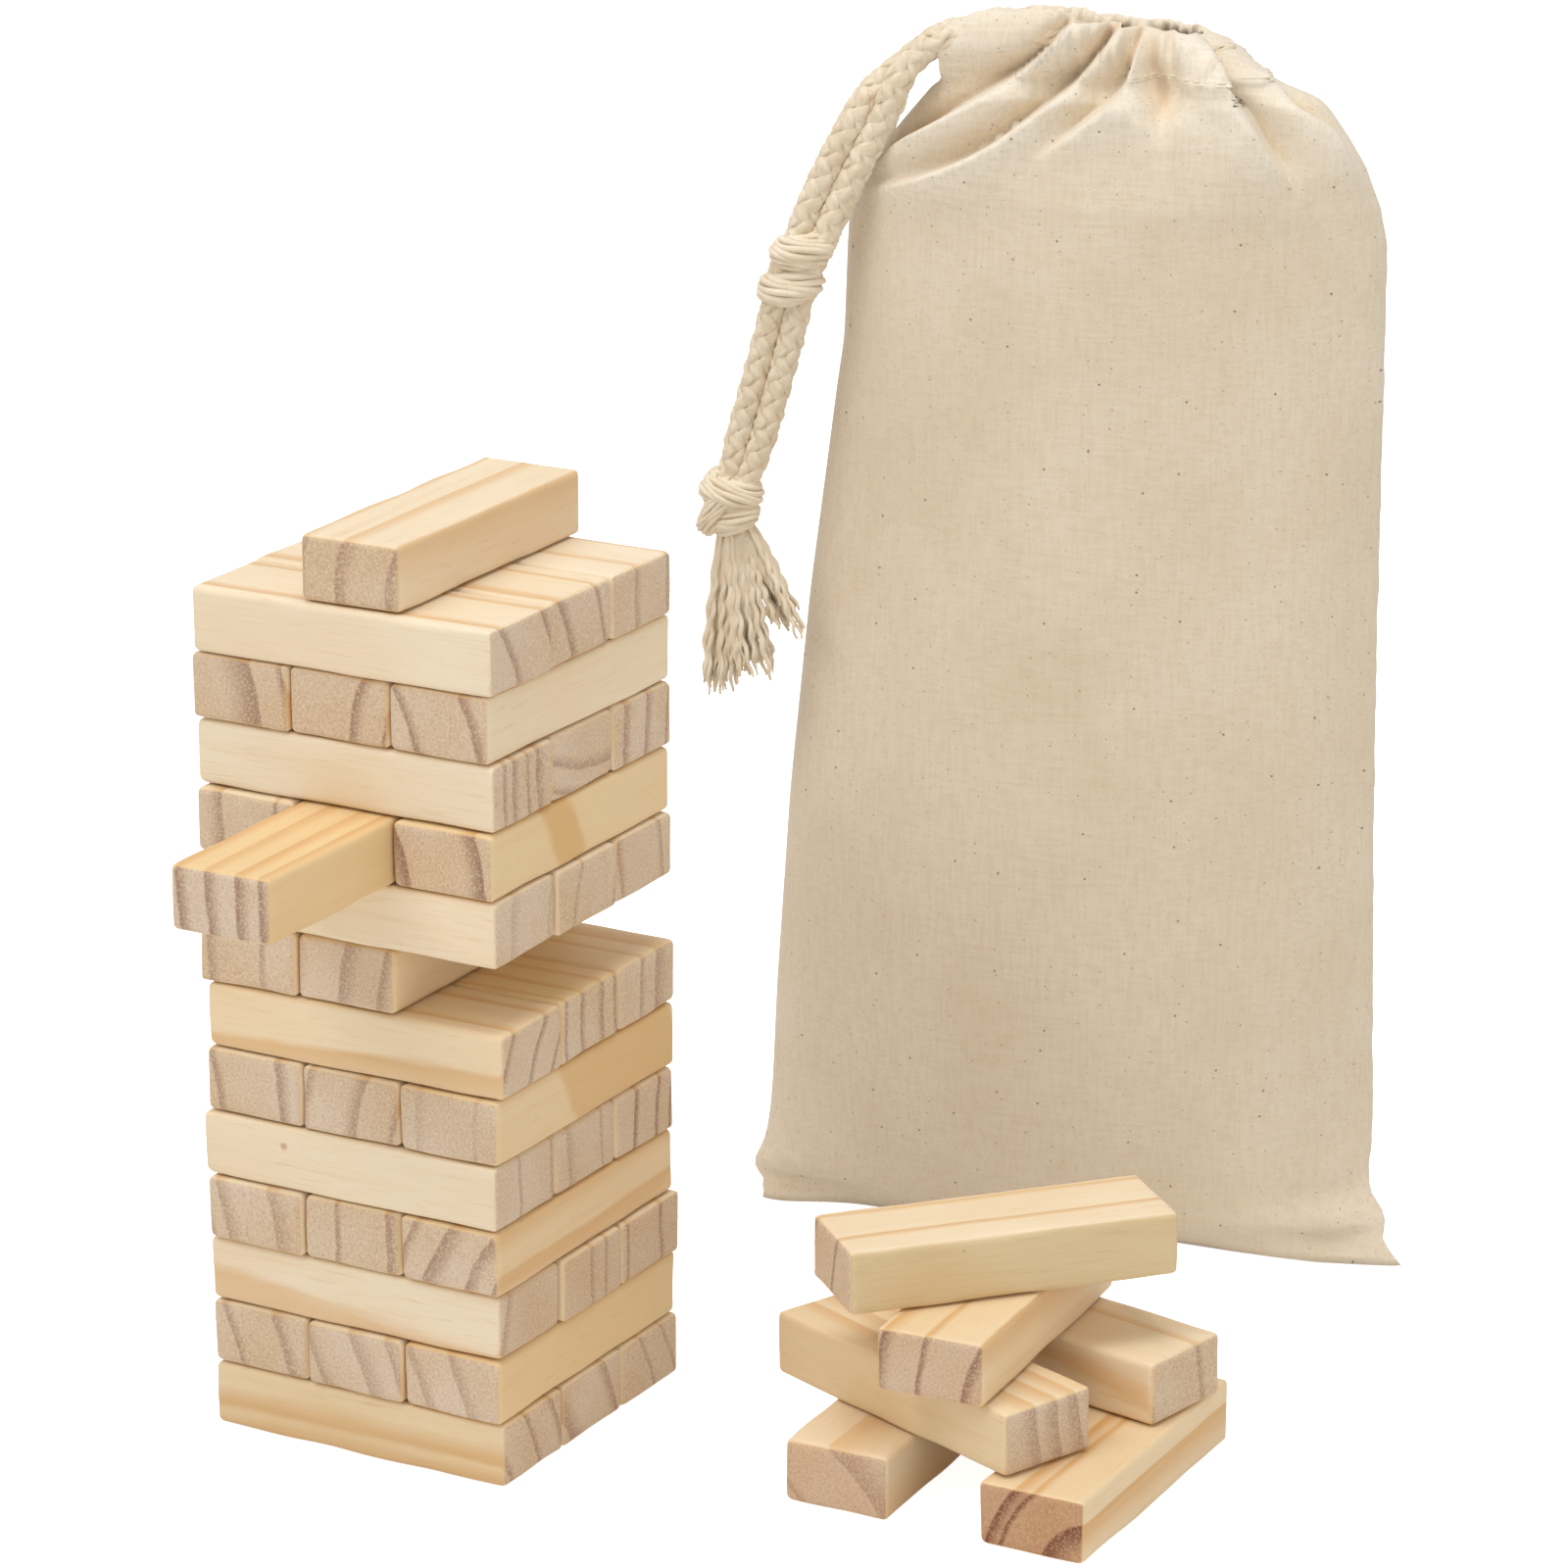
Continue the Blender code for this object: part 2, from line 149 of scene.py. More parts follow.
def vector_step(operation, place, other, output=0):
    """The result of one step on vectors."""
    node = add_node(place.tree, "VectorMath", {0: place, 1: other}, operation=operation)
    return Wire(node, output)


def stretch(place, scale):
    """A position scaled along its axes."""
    return vector_step("MULTIPLY", place, scale)


def split(place):
    """A vector's three parts."""
    node = add_node(place.tree, "SeparateXYZ", {0: place})
    return [Wire(node, axis) for axis in range(3)]


def object_place(tree, output="Object"):
    """Positions in the piece's own frame, or another kind of coordinate."""
    return Wire(add_node(tree, "TexCoord"), output)


def new_group(name, inputs, outputs):
    """An empty node group, with its inputs by name; sockets are given as name: kind."""
    tree = bpy.data.node_groups.new(name, "ShaderNodeTree")
    for way, sockets in (("INPUT", inputs), ("OUTPUT", outputs)):
        for label, kind in sockets.items():
            tree.interface.new_socket(label, in_out=way, socket_type="NodeSocket" + kind)
    source = tree.nodes.new("NodeGroupInput")
    given = {label: Wire(source, label) for label in inputs}
    return tree, given, tree.nodes.new("NodeGroupOutput")


def new_material(name):
    """A node material, its tree and its shader."""
    material = bpy.data.materials.new(name)
    material.use_nodes = True
    return material, material.node_tree, material.node_tree.nodes["Principled BSDF"]


def finish_shader(shader, colour, relief, depth, strength, **inputs):
    """Gives a shader its colour, its relief as bump of a depth in mm, and other inputs."""
    bump_inputs = {"Strength": strength, "Distance": depth * MM, "Height": relief}
    bump = add_node(shader.id_data, "Bump", bump_inputs)
    named = {key.replace("_", " "): value for key, value in inputs.items()}
    set_inputs(shader, {"Base Color": colour, "Normal": Wire(bump), **named})


# ---------------------------------------------------------------- meshes


def make_piece(name, points, faces, smooth=True):
    """A mesh object from points and faces."""
    mesh = bpy.data.meshes.new(name)
    mesh.from_pydata([tuple(point) for point in points], [], faces)
    mesh.update()
    if smooth:
        mesh.shade_smooth()
    piece = bpy.data.objects.new(name, mesh)
    bpy.context.scene.collection.objects.link(piece)
    return piece


def mesh_points(mesh):
    """A mesh's vertices as rows."""
    points = np.empty(len(mesh.vertices) * 3)
    mesh.vertices.foreach_get("co", points)
    return points.reshape(-1, 3)


def fix_normals(piece):
    """Turns every face of a closed mesh outwards."""
    builder = bmesh.new()
    builder.from_mesh(piece.data)
    bmesh.ops.recalc_face_normals(builder, faces=builder.faces)
    builder.to_mesh(piece.data)
    builder.free()


def store_value(piece, name, values):
    """Keeps one number for each vertex, for the material to read."""
    attribute = piece.data.attributes.new(name, "FLOAT", "POINT")
    attribute.data.foreach_set("value", np.asarray(values, np.float32))


def fit_piece(piece, material, slot, body=None, *nodes):
    """Gives a piece its material, the body it rides on and the solids it stands for; the slot is not used."""
    piece.data.materials.append(material)
    if body:
        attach(piece, body)
    if nodes:
        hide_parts(*nodes)


# ---------------------------------------------------------------- pine blocks

# The growth rings on each block's end that faces the viewer, from its own left to right:
# lean of the rings in degrees (+ leans to the right going down), distance to the tree's
# centre in mm (+ to the right), how dark the rings are, and for each ring the place of its
# hard edge and the width over which it fades, in mm from the block's centre.
RINGS = {
    "layer_01_block_a": (25, -60, 0.58, ((-11.4, 1.6), (-9.6, 2.0), (-0.8, 1.8), (7.0, -2.0))),
    "layer_01_block_b": (25, -60, 0.55, ((-9.0, 5.0), (6.0, -3.0))),
    "layer_01_block_c": (25, -60, 0.45, ((-1.4, 1.3), (5.5, 1.2))),
    "layer_02_block_a": (18, -70, 0.50, ((-4.7, 2.0), (5.1, 3.2))),
    "layer_02_block_b": (20, -60, 0.42, ((-7.8, 2.8), (0.8, 4.2), (7.4, 2.5))),
    "layer_02_block_c": (20, -70, 0.40, ((-5.5, 2.2), (2.0, 3.6))),
    "layer_03_block_a": (-15, 60, 0.38, ((-8.8, 2.4),)),
    "layer_03_block_b": (0, 90, 0.45, ((-0.7, 1.8), (4.2, 1.2))),
    "layer_03_block_c": (0, 90, 0.60, ((-8.9, 1.2), (2.6, 1.8))),
    "layer_04_block_a": (12, -50, 0.42, ((-9.4, 1.2), (-5.9, 2.8), (3.6, 4.0))),
    "layer_04_block_b": (3, -45, 0.62, ((-3.0, 1.4), (7.6, 2.4))),
    "layer_04_block_c": (-28, 60, 0.60, ((-8.5, 2.0), (-2.6, 4.2), (4.8, 2.8), (9.6, 2.4))),
    "layer_05_block_a": (2, 90, 0.45, ((-2.5, 1.2), (8.0, 1.0))),
    "layer_05_block_b": (2, 90, 0.38, ((-6.3, 3.0), (4.3, 1.2))),
    "layer_05_block_c": (-6, 80, 0.85, ((-3.4, 1.7), (4.2, 1.5), (8.9, 1.2))),
    "layer_06_block_a": (8, -45, 0.62, ((-7.9, 2.0), (4.8, 2.8))),
    "layer_06_block_b": (-14, 50, 0.52, ((-9.0, 2.0), (2.2, -3.4), (9.5, -1.5))),
    "layer_06_block_c": (-3, 90, 0.22, ((-6.0, 2.0), (5.3, 1.2))),
    "layer_07_block_a": (-28, 60, 0.62, ((-7.4, 1.8), (0.8, 1.6), (7.4, 1.5))),
    "layer_07_block_b": (3, 70, 0.60, ((-8.1, 1.2), (-3.0, 2.2), (4.5, -2.2), (8.4, 1.2))),
    "layer_07_block_c": (-4, 60, 0.48, ((-2.8, 2.0), (2.6, 5.0))),
    "layer_08_block_a": (3, 80, 0.45, ((-7.6, 2.6), (3.4, 1.8))),
    "layer_08_block_b": (-6, 60, 0.50, ((-1.6, 4.2), (6.5, 2.5))),
    "layer_09_block_a": (-6, 60, 0.25, ((-5.0, 3.0), (7.0, 2.0))),
    "layer_09_block_b": (-16, 40, 0.45, ((-4.3, 1.1), (8.8, -1.5))),
    "layer_09_block_c": (8, 60, 0.50, ((-7.9, 2.2), (5.8, -1.6))),
    "layer_10_block_a": (2, 90, 0.55, ((-5.1, -3.6), (6.0, 1.0))),
    "layer_10_block_b": (4, 90, 0.72, ((-8.6, 2.6), (-3.1, 2.8), (2.6, 3.2), (7.4, 2.4))),
    "layer_10_block_c": (12, -40, 0.82, ((-7.6, -3.0), (6.7, -3.6))),
    "layer_11_block_a": (3, 50, 0.55, ((-6.6, 1.5), (-3.6, 2.4), (1.0, 1.2), (4.0, 2.8))),
    "layer_11_block_b": (80, 60, 0.50, ((-1.8, 2.6), (-6.5, 2.0))),
    "layer_11_block_c": (-2, 60, 0.58, ((-6.6, 2.8), (0.4, 2.4), (7.5, 1.0))),
    "layer_12_block_a": (14, -60, 0.68, ((2.8, -7.5), (9.3, -1.6))),
    "layer_12_block_b": (-12, 50, 0.72, ((2.6, 2.5), (9.0, 1.0))),
    "layer_12_block_c": (20, -45, 0.68, ((-6.0, 2.1), (5.4, 2.5))),
    "layer_13_block_a": (24, -60, 0.60, ((-3.4, 2.2), (8.6, 2.2))),
    "layer_13_block_b": (20, -60, 0.62, ((-4.6, 2.8), (6.4, 1.5))),
    "layer_13_block_c": (3, 80, 0.42, ((-2.6, 2.6), (8.4, 2.0))),
    "top_block": (-10, 35, 0.48, ((-9.6, 1.2), (-2.4, 3.4), (7.4, 3.0))),
    "loose_block_1": (42, -60, 0.40, ((3.0, 6.5), (-9.0, 1.5))),
    "loose_block_2": (-35, 15, 1.00, ((-5.5, 2.2), (-3.2, 1.0), (4.6, 5.5))),
    "loose_block_3": (10, 60, 0.45, ((-2.2, -4.0), (2.6, -4.0), (7.4, -3.8))),
    "loose_block_4": (8, -60, 0.48, ((-9.5, 1.0), (4.4, 2.0))),
    "loose_block_5": (-14, 35, 0.80, ((-9.0, 2.8), (-1.5, 1.2), (7.0, 2.8))),
    "loose_block_6": (-15, 40, 0.62, ((-9.5, 1.5), (0.5, 1.6))),
}
# Figure in the long side: where it lies along the block in mm, its width, and its strength
FIGURES = {
    "layer_10_block_c": (-4.5, 12.0, 0.75),
    "layer_06_block_c": (14.0, 40.0, 0.65),
    "loose_block_4": (-30.0, 14.0, 0.30),
}
# Small brown knots: x, y, z and radius in mm, in the block's own frame
KNOTS = {
    "layer_05_block_a": (-13.2, -9.8, 2.2, 1.0),
    "loose_block_6": (-9.5, -9.8, 3.6, 0.32),
}
# How fast the rings run out to one side along the block, in mm for each metre
RUN_OUT = {"layer_03_block_a": -22.0, "layer_13_block_a": 0.0, "layer_11_block_a": 4.0}
# How much honey colour a block has over plain cream
HONEY_BLOCKS = {
    "layer_10_block_c": 0.55,
    "layer_06_block_c": 0.55,
    "layer_07_block_b": 0.55,
    "layer_07_block_c": 0.45,
    "layer_08_block_b": 0.45,
    "layer_08_block_a": 0.30,
    "layer_04_block_c": 0.45,
    "layer_01_block_a": 0.35,
    "layer_07_block_a": 0.25,
    "layer_10_block_b": 0.70,
    "loose_block_5": 0.35,
    "loose_block_2": 0.40,
    "loose_block_3": 0.30,
    "loose_block_6": 0.05,
    "layer_02_block_c": 0.80,
}
# Long front faces made darker than the rest of their block
DARK_FRONTS = {"loose_block_6": 0.95, "loose_block_3": 0.35, "layer_01_block_a": 0.25}
# Ends that are redder and darker than the rest
RESIN_ENDS = {"loose_block_2": 0.75, "loose_block_1": 0.35, "loose_block_5": 0.25}
RING_SPAN = 16.0
BLOCK_END = 12.4
LEAST_SPACING = 4.5
EDGE_HARDNESS = 0.5
MOST_STOPS = 32
RUN_OUT_RANGE = 20.0
HONEY_RANGE = 0.18
ROUND_STEPS = 4
EDGE_ROUND = 1.35 * MM
SHELL_COUNTS = (30, 14, 9)
CROSSWISE_TURN = math.radians(40)
CREAM, WARM_CREAM, HONEY = srgb(240, 223, 195), srgb(235, 214, 182), srgb(231, 197, 142)
TAN, PALE_TAN, FIGURE_TAN = srgb(211, 160, 98), srgb(222, 178, 120), srgb(216, 170, 104)
FIBRE_TAN, STREAK_TAN, PORE_TAN = srgb(222, 188, 136), srgb(219, 178, 118), srgb(206, 164, 110)
SAWN, WARM_SAWN, RING_BROWN = srgb(215, 192, 167), srgb(208, 178, 144), srgb(140, 98, 78)
# The last is a warm tan for the rounded edges, partly their own sanded colour and partly painted highlight
FUZZ, PIT_BROWN, EDGE_TAN_AND_HIGHLIGHT = srgb(236, 217, 184), srgb(164, 122, 88), srgb(232, 196, 138)
FRONT_SHADE, RESIN_SHADE, KNOT_BROWN = srgb(235, 228, 208), srgb(226, 190, 158), srgb(176, 112, 78)


def ring_darkness(place, rings):
    """How dark the wood is at a place across the rings: the darkest of all of them."""
    dark = 0.0
    for edge, width in rings:
        ahead = (place - edge) * math.copysign(1.0, width)
        dark = max(dark, 1 - ahead / abs(width) if ahead >= 0 else 1 + ahead / EDGE_HARDNESS)
    return min(1.0, dark)


def all_rings(rings):
    """The stated rings, with the same spacing carried on past both sides of the block."""
    edges = sorted(rings)
    spacing = max(LEAST_SPACING, (edges[-1][0] - edges[0][0]) / max(1, len(edges) - 1))
    right = max(edges[-1][0] + spacing, BLOCK_END)
    left = min(edges[0][0] - spacing, -BLOCK_END)
    return edges + [(right, edges[-1][1]), (left, edges[0][1])]


def ring_ramp(coordinate, rings):
    """A ramp that gives the rings' darkness across the block."""
    node = add_node(coordinate.tree, "ValToRGB", {0: coordinate})
    node.color_ramp.interpolation = "EASE"
    every = all_rings(rings)
    places = set()
    for edge, width in every:
        places.update((edge, edge + width, edge - math.copysign(EDGE_HARDNESS, width)))
    places = sorted(place for place in places if -RING_SPAN < place < RING_SPAN)[:MOST_STOPS]
    elements = node.color_ramp.elements
    while len(elements) > 1:
        elements.remove(elements[-1])
    for index, place in enumerate(places):
        position = place / (2 * RING_SPAN) + 0.5
        element = elements[0] if index == 0 else elements.new(position)
        element.position = position
        element.color = (*[ring_darkness(place, every)] * 3, 1.0)
    return Wire(node)


def make_ring_group():
    """Where a point lies across the growth rings, which are cylinders along the block."""
    tree, given, result = new_group(
        "ring_place",
        dict.fromkeys(("Lean", "Centre", "Side", "Drift", "Seed"), "Float"),
        {"Place": "Float", "Position": "Vector", "End": "Float"},
    )
    position = object_place(tree)
    offset = Wire(add_node(tree, "CombineXYZ", {0: given["Seed"], 1: given["Seed"]}))
    shifted = vector_step("ADD", position, offset)
    x, y, z = split(position)
    across, up = y * (given["Side"] * 1000.0), z * 1000.0
    lean, centre = calc("RADIANS", given["Lean"]), given["Centre"]
    away_across = abs(across - calc("COSINE", lean) * centre) ** 2.0
    away_up = abs(up - calc("SINE", lean) * centre) ** 2.0
    away = calc("SQRT", away_across + away_up)
    depth = centre - calc("SIGN", centre) * away
    slow = noise_value(stretch(shifted, (0.16, 1.0, 1.0)), 70.0, 1.0)
    fine = noise_value(stretch(shifted, (0.20, 1.0, 1.0)), 420.0)
    bend, wave = (slow - 0.5) * 2.4, (fine - 0.5) * 0.55
    total = (depth + bend) + (wave + x * given["Drift"])
    facing = split(object_place(tree, "Normal"))[0]
    end = remap(abs(facing), 0.45, 0.9, smooth=True)
    place = total / (2 * RING_SPAN) + 0.5
    set_inputs(result, {"Place": place, "Position": shifted, "End": end})
    return tree


def make_pine_group():
    """Colour, roughness and relief of sanded pine, from how dark its rings are."""
    numbers = ("Dark", "Strength", "End", "Honey", "Figure")
    tree, given, result = new_group(
        "pine_finish",
        {"Position": "Vector"} | dict.fromkeys(numbers, "Float"),
        {"Colour": "Color", "Roughness": "Float", "Relief": "Float"},
    )
    place, end = given["Position"], given["End"]
    fibre = noise_value(stretch(place, (0.035, 1.0, 1.0)), 2600.0, 3.0, 0.6)
    streak = noise_value(stretch(place, (0.05, 1.0, 1.0)), 420.0, 3.0, 0.6)
    cloud = noise_value(stretch(place, (0.4, 1.0, 1.0)), 55.0)
    grit = noise_value(place, 2300.0, 3.0, 0.65)
    side = side_colour(given, fibre, streak, cloud)
    colour = mix_colour(end, side, end_colour(given, grit, cloud))
    # Warm tan along the rounded edges between end and side: partly the sanded edge's colour, partly painted
    # highlight
    rim = end * calc("SUBTRACT", 1.0, end) * 2.0
    side_relief = fibre * 0.25 + streak * 0.2
    end_relief = grit + given["Dark"] * 0.3
    relief = add_node(tree, "Mix", {0: end, 2: side_relief, 3: end_relief}, data_type="FLOAT")
    outputs = {
        "Colour": mix_colour(rim, colour, EDGE_TAN_AND_HIGHLIGHT),
        "Roughness": remap(end, 0.0, 1.0, 0.50, 0.80),
        "Relief": Wire(relief),
    }
    set_inputs(result, outputs)
    return tree


def side_colour(given, fibre, streak, cloud):
    """Long faces: cream with soft tan streaks where a ring comes to the surface."""
    cream = mix_colour(remap(cloud, 0.35, 0.65), CREAM, WARM_CREAM)
    cream = mix_colour(given["Honey"], cream, HONEY)
    tan = mix_colour(remap(streak, 0.3, 0.7), TAN, PALE_TAN)
    amount = given["Dark"] ** 0.8 * remap(given["Strength"], 0.2, 1.0, 0.45, 0.95)
    pores = noise_value(stretch(given["Position"], (0.09, 1.0, 1.0)), 1500.0, 1.0)
    layers = (
        (given["Figure"], FIGURE_TAN),
        (remap(fibre, 0.50, 0.72, 0.0, 0.30), FIBRE_TAN),
        (remap(streak, 0.55, 0.80, 0.0, 0.28), STREAK_TAN),
        (remap(pores, 0.66, 0.76, 0.0, 0.20), PORE_TAN),
    )
    return layered(mix_colour(amount, cream, tan), layers)


def end_colour(given, grit, cloud):
    """Sawn ends: pinkish brown with pale fuzz and darker rings."""
    base = mix_colour(remap(cloud, 0.35, 0.65), SAWN, WARM_SAWN)
    cells = add_node(grit.tree, "TexVoronoi", {"Vector": given["Position"], "Scale": 2000.0})
    pale = remap(grit - Wire(cells) * 0.35, 0.28, 0.52, 0.0, 0.46)
    pits = remap(grit, 0.30, 0.44, 0.45, 0.0)
    rings = given["Dark"] * given["Strength"]
    return layered(base, ((rings, RING_BROWN), (pale, FUZZ), (pits, PIT_BROWN)))


def figure_amount(position, figure):
    """A honey-coloured patch across the long side, hard at one edge."""
    along, width, strength = figure
    x, _, z = split(position)
    wander = noise_value(position, 160.0)
    place = calc("MULTIPLY_ADD", wander, 0.004, calc("MULTIPLY_ADD", z, 0.45, x))
    start, finish = (along - width / 2) * MM, (along + width / 2) * MM
    rise = remap(place, start, start + 0.003, smooth=True)
    fall = remap(place, finish - 0.0025, finish, 1.0, 0.0, smooth=True)
    return rise * fall * strength


def knot_amount(position, knot):
    """A small round knot."""
    *centre, radius = [value * MM for value in knot]
    away = vector_step("DISTANCE", position, centre, "Value")
    return remap(away, radius * 0.3, radius, 0.55, 0.0, smooth=True)


def pine_material(node_name, groups, side, chance):
    """One block's own wood."""
    lean, centre, strength, rings = RINGS[node_name]
    material, tree, shader = new_material(node_name + "_pine")
    drift = chance.uniform(-RUN_OUT_RANGE, RUN_OUT_RANGE)
    drift = RUN_OUT.get(node_name, drift)
    seed = chance.uniform(0.0, 3.0)
    honey = HONEY_BLOCKS.get(node_name, 0.0) + chance.uniform(0.0, HONEY_RANGE)
    settings = {"Lean": lean, "Centre": centre, "Side": side, "Drift": drift, "Seed": seed}
    ring, finish = [tree.nodes.new("ShaderNodeGroup") for _ in groups]
    ring.node_tree, finish.node_tree = groups
    set_inputs(ring, settings)
    end, own_place = Wire(ring, "End"), object_place(tree)
    finish_inputs = {
        "Dark": ring_ramp(Wire(ring, "Place"), rings),
        "Position": Wire(ring, "Position"),
        "End": end,
        "Strength": strength,
        "Honey": honey,
        "Figure": 0.0,
    }
    if node_name in FIGURES:
        finish_inputs["Figure"] = figure_amount(own_place, FIGURES[node_name])
    set_inputs(finish, finish_inputs)
    colour = Wire(finish, "Colour")
    if node_name in DARK_FRONTS:
        forward = split(object_place(tree, "Normal"))[1]
        amount = remap(forward, -0.45, -0.90, 0.0, DARK_FRONTS[node_name], True)
        colour = mix_colour(amount, colour, FRONT_SHADE, "MULTIPLY")
    if node_name in RESIN_ENDS:
        colour = mix_colour(end * RESIN_ENDS[node_name], colour, RESIN_SHADE, "MULTIPLY")
    if node_name in KNOTS:
        colour = mix_colour(knot_amount(own_place, KNOTS[node_name]), colour, KNOT_BROWN)
    roughness = Wire(finish, "Roughness")
    relief = Wire(finish, "Relief")
    finish_shader(
        shader, colour, relief, 0.25, 0.35, Roughness=roughness, Specular_IOR_Level=0.35
    )
    return material


def spread_steps(half, rounding, count):
    """Places across a block, close together where its edges are rounded."""
    inner = half - rounding
    turns = [math.pi / 2 * i / ROUND_STEPS for i in range(1, ROUND_STEPS + 1)]
    curve = [half - rounding * (1 - math.sin(turn)) for turn in turns]
    middle = [-inner + 2 * inner * i / count for i in range(count + 1)]
    return [-place for place in reversed(curve)] + middle + curve


def block_shell(size):
    """Points and faces of a box's surface, gridded."""
    steps = [spread_steps(size[a] / 2, EDGE_ROUND, SHELL_COUNTS[a]) for a in range(3)]
    index, faces = {}, []
    for axis in range(3):
        first, second = [a for a in range(3) if a != axis]
        for level in (0, len(steps[axis]) - 1):
            for i in range(len(steps[first]) - 1):
                for j in range(len(steps[second]) - 1):
                    ring = []
                    for di, dj in ((0, 0), (1, 0), (1, 1), (0, 1)):
                        key = {axis: level, first: i + di, second: j + dj}
                        ring.append(index.setdefault((key[0], key[1], key[2]), len(index)))
                    outward = (axis != 1) == (level > 0)
                    faces.append(ring if outward else ring[::-1])
    return [[steps[a][key[a]] for a in range(3)] for key in index], faces


def worn_block(points, size, shift, rings, side):
    """Rounds a block's edges unevenly and lifts its harder rings a little on the ends."""
    lean, centre, strength, edges = rings
    every = all_rings(edges)
    half = Vector(size) / 2
    middle = Vector((math.cos(math.radians(lean)), math.sin(math.radians(lean)))) * centre
    worn = []
    for point in points:
        place = Vector(point)
        radius = EDGE_ROUND * (0.82 + 0.5 * noise.noise(place * 90 + shift))
        inner = [max(radius - half[a], min(half[a] - radius, place[a])) for a in range(3)]
        outward = place - Vector(inner)
        if outward.length > 1e-9:
            place = Vector(inner) + outward.normalized() * min(radius, outward.length)
        bow = 0.07 * MM * noise.noise(place * 32 + shift)
        if abs(point[0]) > half[0] - 0.1 * MM:
            away = (Vector((side * point[1], point[2])) / MM - middle).length
            depth = centre - math.copysign(away, centre)
            grain = noise.noise(place * 700)
            lift = 0.05 * strength * ring_darkness(depth, every) + 0.05 * grain
            place.x += math.copysign((lift - 0.04) * MM, point[0])
        else:
            place.y += math.copysign(bow, point[1])
        worn.append(place)
    return worn


def block_frame(node_name):
    """A block's centre, heading and size, from its solid."""
    points = mesh_points(frame["nodes"][node_name].data)
    low, high = points.min(0), points.max(0)
    centre = (low + high) / 2
    flat = points[:, :2] - centre[:2]
    heading = np.linalg.svd(flat, full_matrices=False)[2][0]
    yaw = math.atan2(heading[1], heading[0])
    yaw -= math.pi * math.ceil((yaw - math.radians(135)) / math.pi)
    along = np.array([math.cos(yaw), math.sin(yaw)])
    across = np.array([-along[1], along[0]])
    return Vector(centre), yaw, (np.ptp(flat @ along), np.ptp(flat @ across), high[2] - low[2])


def add_blocks():
    """A worn pine block for each block of the frame."""
    groups = (make_ring_group(), make_pine_group())
    chance = random.Random(7)
    shell = None
    for node_name in sorted(RINGS):
        centre, yaw, size = block_frame(node_name)
        shell = shell or block_shell(size)
        side = -1 if yaw > CROSSWISE_TURN else 1
        shift = Vector([chance.uniform(0, 60) for _ in range(3)])
        points = worn_block(shell[0], size, shift, RINGS[node_name], side)
        piece = make_piece(node_name + "_wood", points, shell[1])
        piece.location = centre
        piece.rotation_euler.z = yaw
        pine = pine_material(node_name, groups, side, chance)
        fit_piece(piece, pine, "block_wood", BODY_OF[node_name], node_name)


# ---------------------------------------------------------------- bag frame

BAG_FOOT_MIDDLE = 0.0592


def bag_frame():
    """The bag's own frame: u along its width, v away from its front, z up."""
    across = -Vector(JOINTS["drawcord_pull"]["axis"]).normalized()
    away = Vector((0.0, 0.0, 1.0)).cross(across)
    foot = next(m for m in RECORD["mounts"] if m["name"] == "bag_foot")
    matrix = Matrix((across, away, (0.0, 0.0, 1.0))).transposed().to_4x4()
    matrix.translation = Vector(foot["pos_m"]) - across * BAG_FOOT_MIDDLE
    return matrix


def cad_points(node_name):
    """A solid's vertices in the bag's frame."""
    back = np.array(BAG.inverted())
    return mesh_points(frame["nodes"][node_name].data) @ back[:3, :3].T + back[:3, 3]


BAG = bag_frame()
BODY = cad_points("bag_body")
HEM = cad_points("bag_hem_channel")
RIM_HEIGHT = BODY[:, 2].max()
HEM_BOTTOM = HEM[:, 2].min()
HEM_LEFT = HEM[:, 0].min()
HEM_RIGHT = HEM[:, 0].max() + 0.0015
PROFILE_ROWS = 480
PROFILE_EASE = 15


def body_profile():
    """Left edge, right edge and half depth of the pouch at many heights, smoothed."""
    levels = np.unique(np.round(BODY[:, 2], 5))
    rows = [BODY[np.abs(BODY[:, 2] - level) < 2e-5] for level in levels]
    fine = np.linspace(0.0, RIM_HEIGHT, PROFILE_ROWS)
    kernel = np.hanning(2 * PROFILE_EASE + 1)
    profile = []
    for measure in (lambda r: r[:, 0].min(), lambda r: r[:, 0].max(), lambda r: r[:, 1].max()):
        values = np.interp(fine, levels, [measure(row) for row in rows])
        before = 2 * values[0] - values[PROFILE_EASE:0:-1]
        after = 2 * values[-1] - values[-2 : -2 - PROFILE_EASE : -1]
        padded = np.concatenate((before, values, after))
        profile.append(np.convolve(padded, kernel / kernel.sum(), "valid"))
    return fine, profile


PROFILE_HEIGHTS, PROFILE = body_profile()


def smooth_step(low, high, value):
    """0 below low, 1 above high, and a smooth rise between."""
    share = np.clip((value - low) / (high - low), 0.0, 1.0)
    return share * share * (3 - 2 * share)


def scalar_noise(x, y, z):
    """Smooth noise at many places."""
    flat = np.broadcast_arrays(x, y, z)
    values = [noise.noise(Vector(place)) for place in zip(*(part.ravel() for part in flat))]
    return np.array(values).reshape(flat[0].shape)


# ---------------------------------------------------------------- bag outline

# Outline of the drawn-in top: height, left edge, right edge and half depth, in mm
SHOULDER_OUTLINE = (
    (195.0, 14.6, 115.8, 16.0),
    (202.0, 17.4, 114.2, 15.8),
    (209.0, 21.4, 111.4, 14.6),
    (214.0, 25.4, 108.2, 13.6),
    (219.0, 29.6, 104.6, 12.2),
    (224.5, 34.2, 99.0, 11.0),
    (228.0, 34.2, 96.0, 10.6),
    (231.0, 34.2, 93.0, 10.0),
)
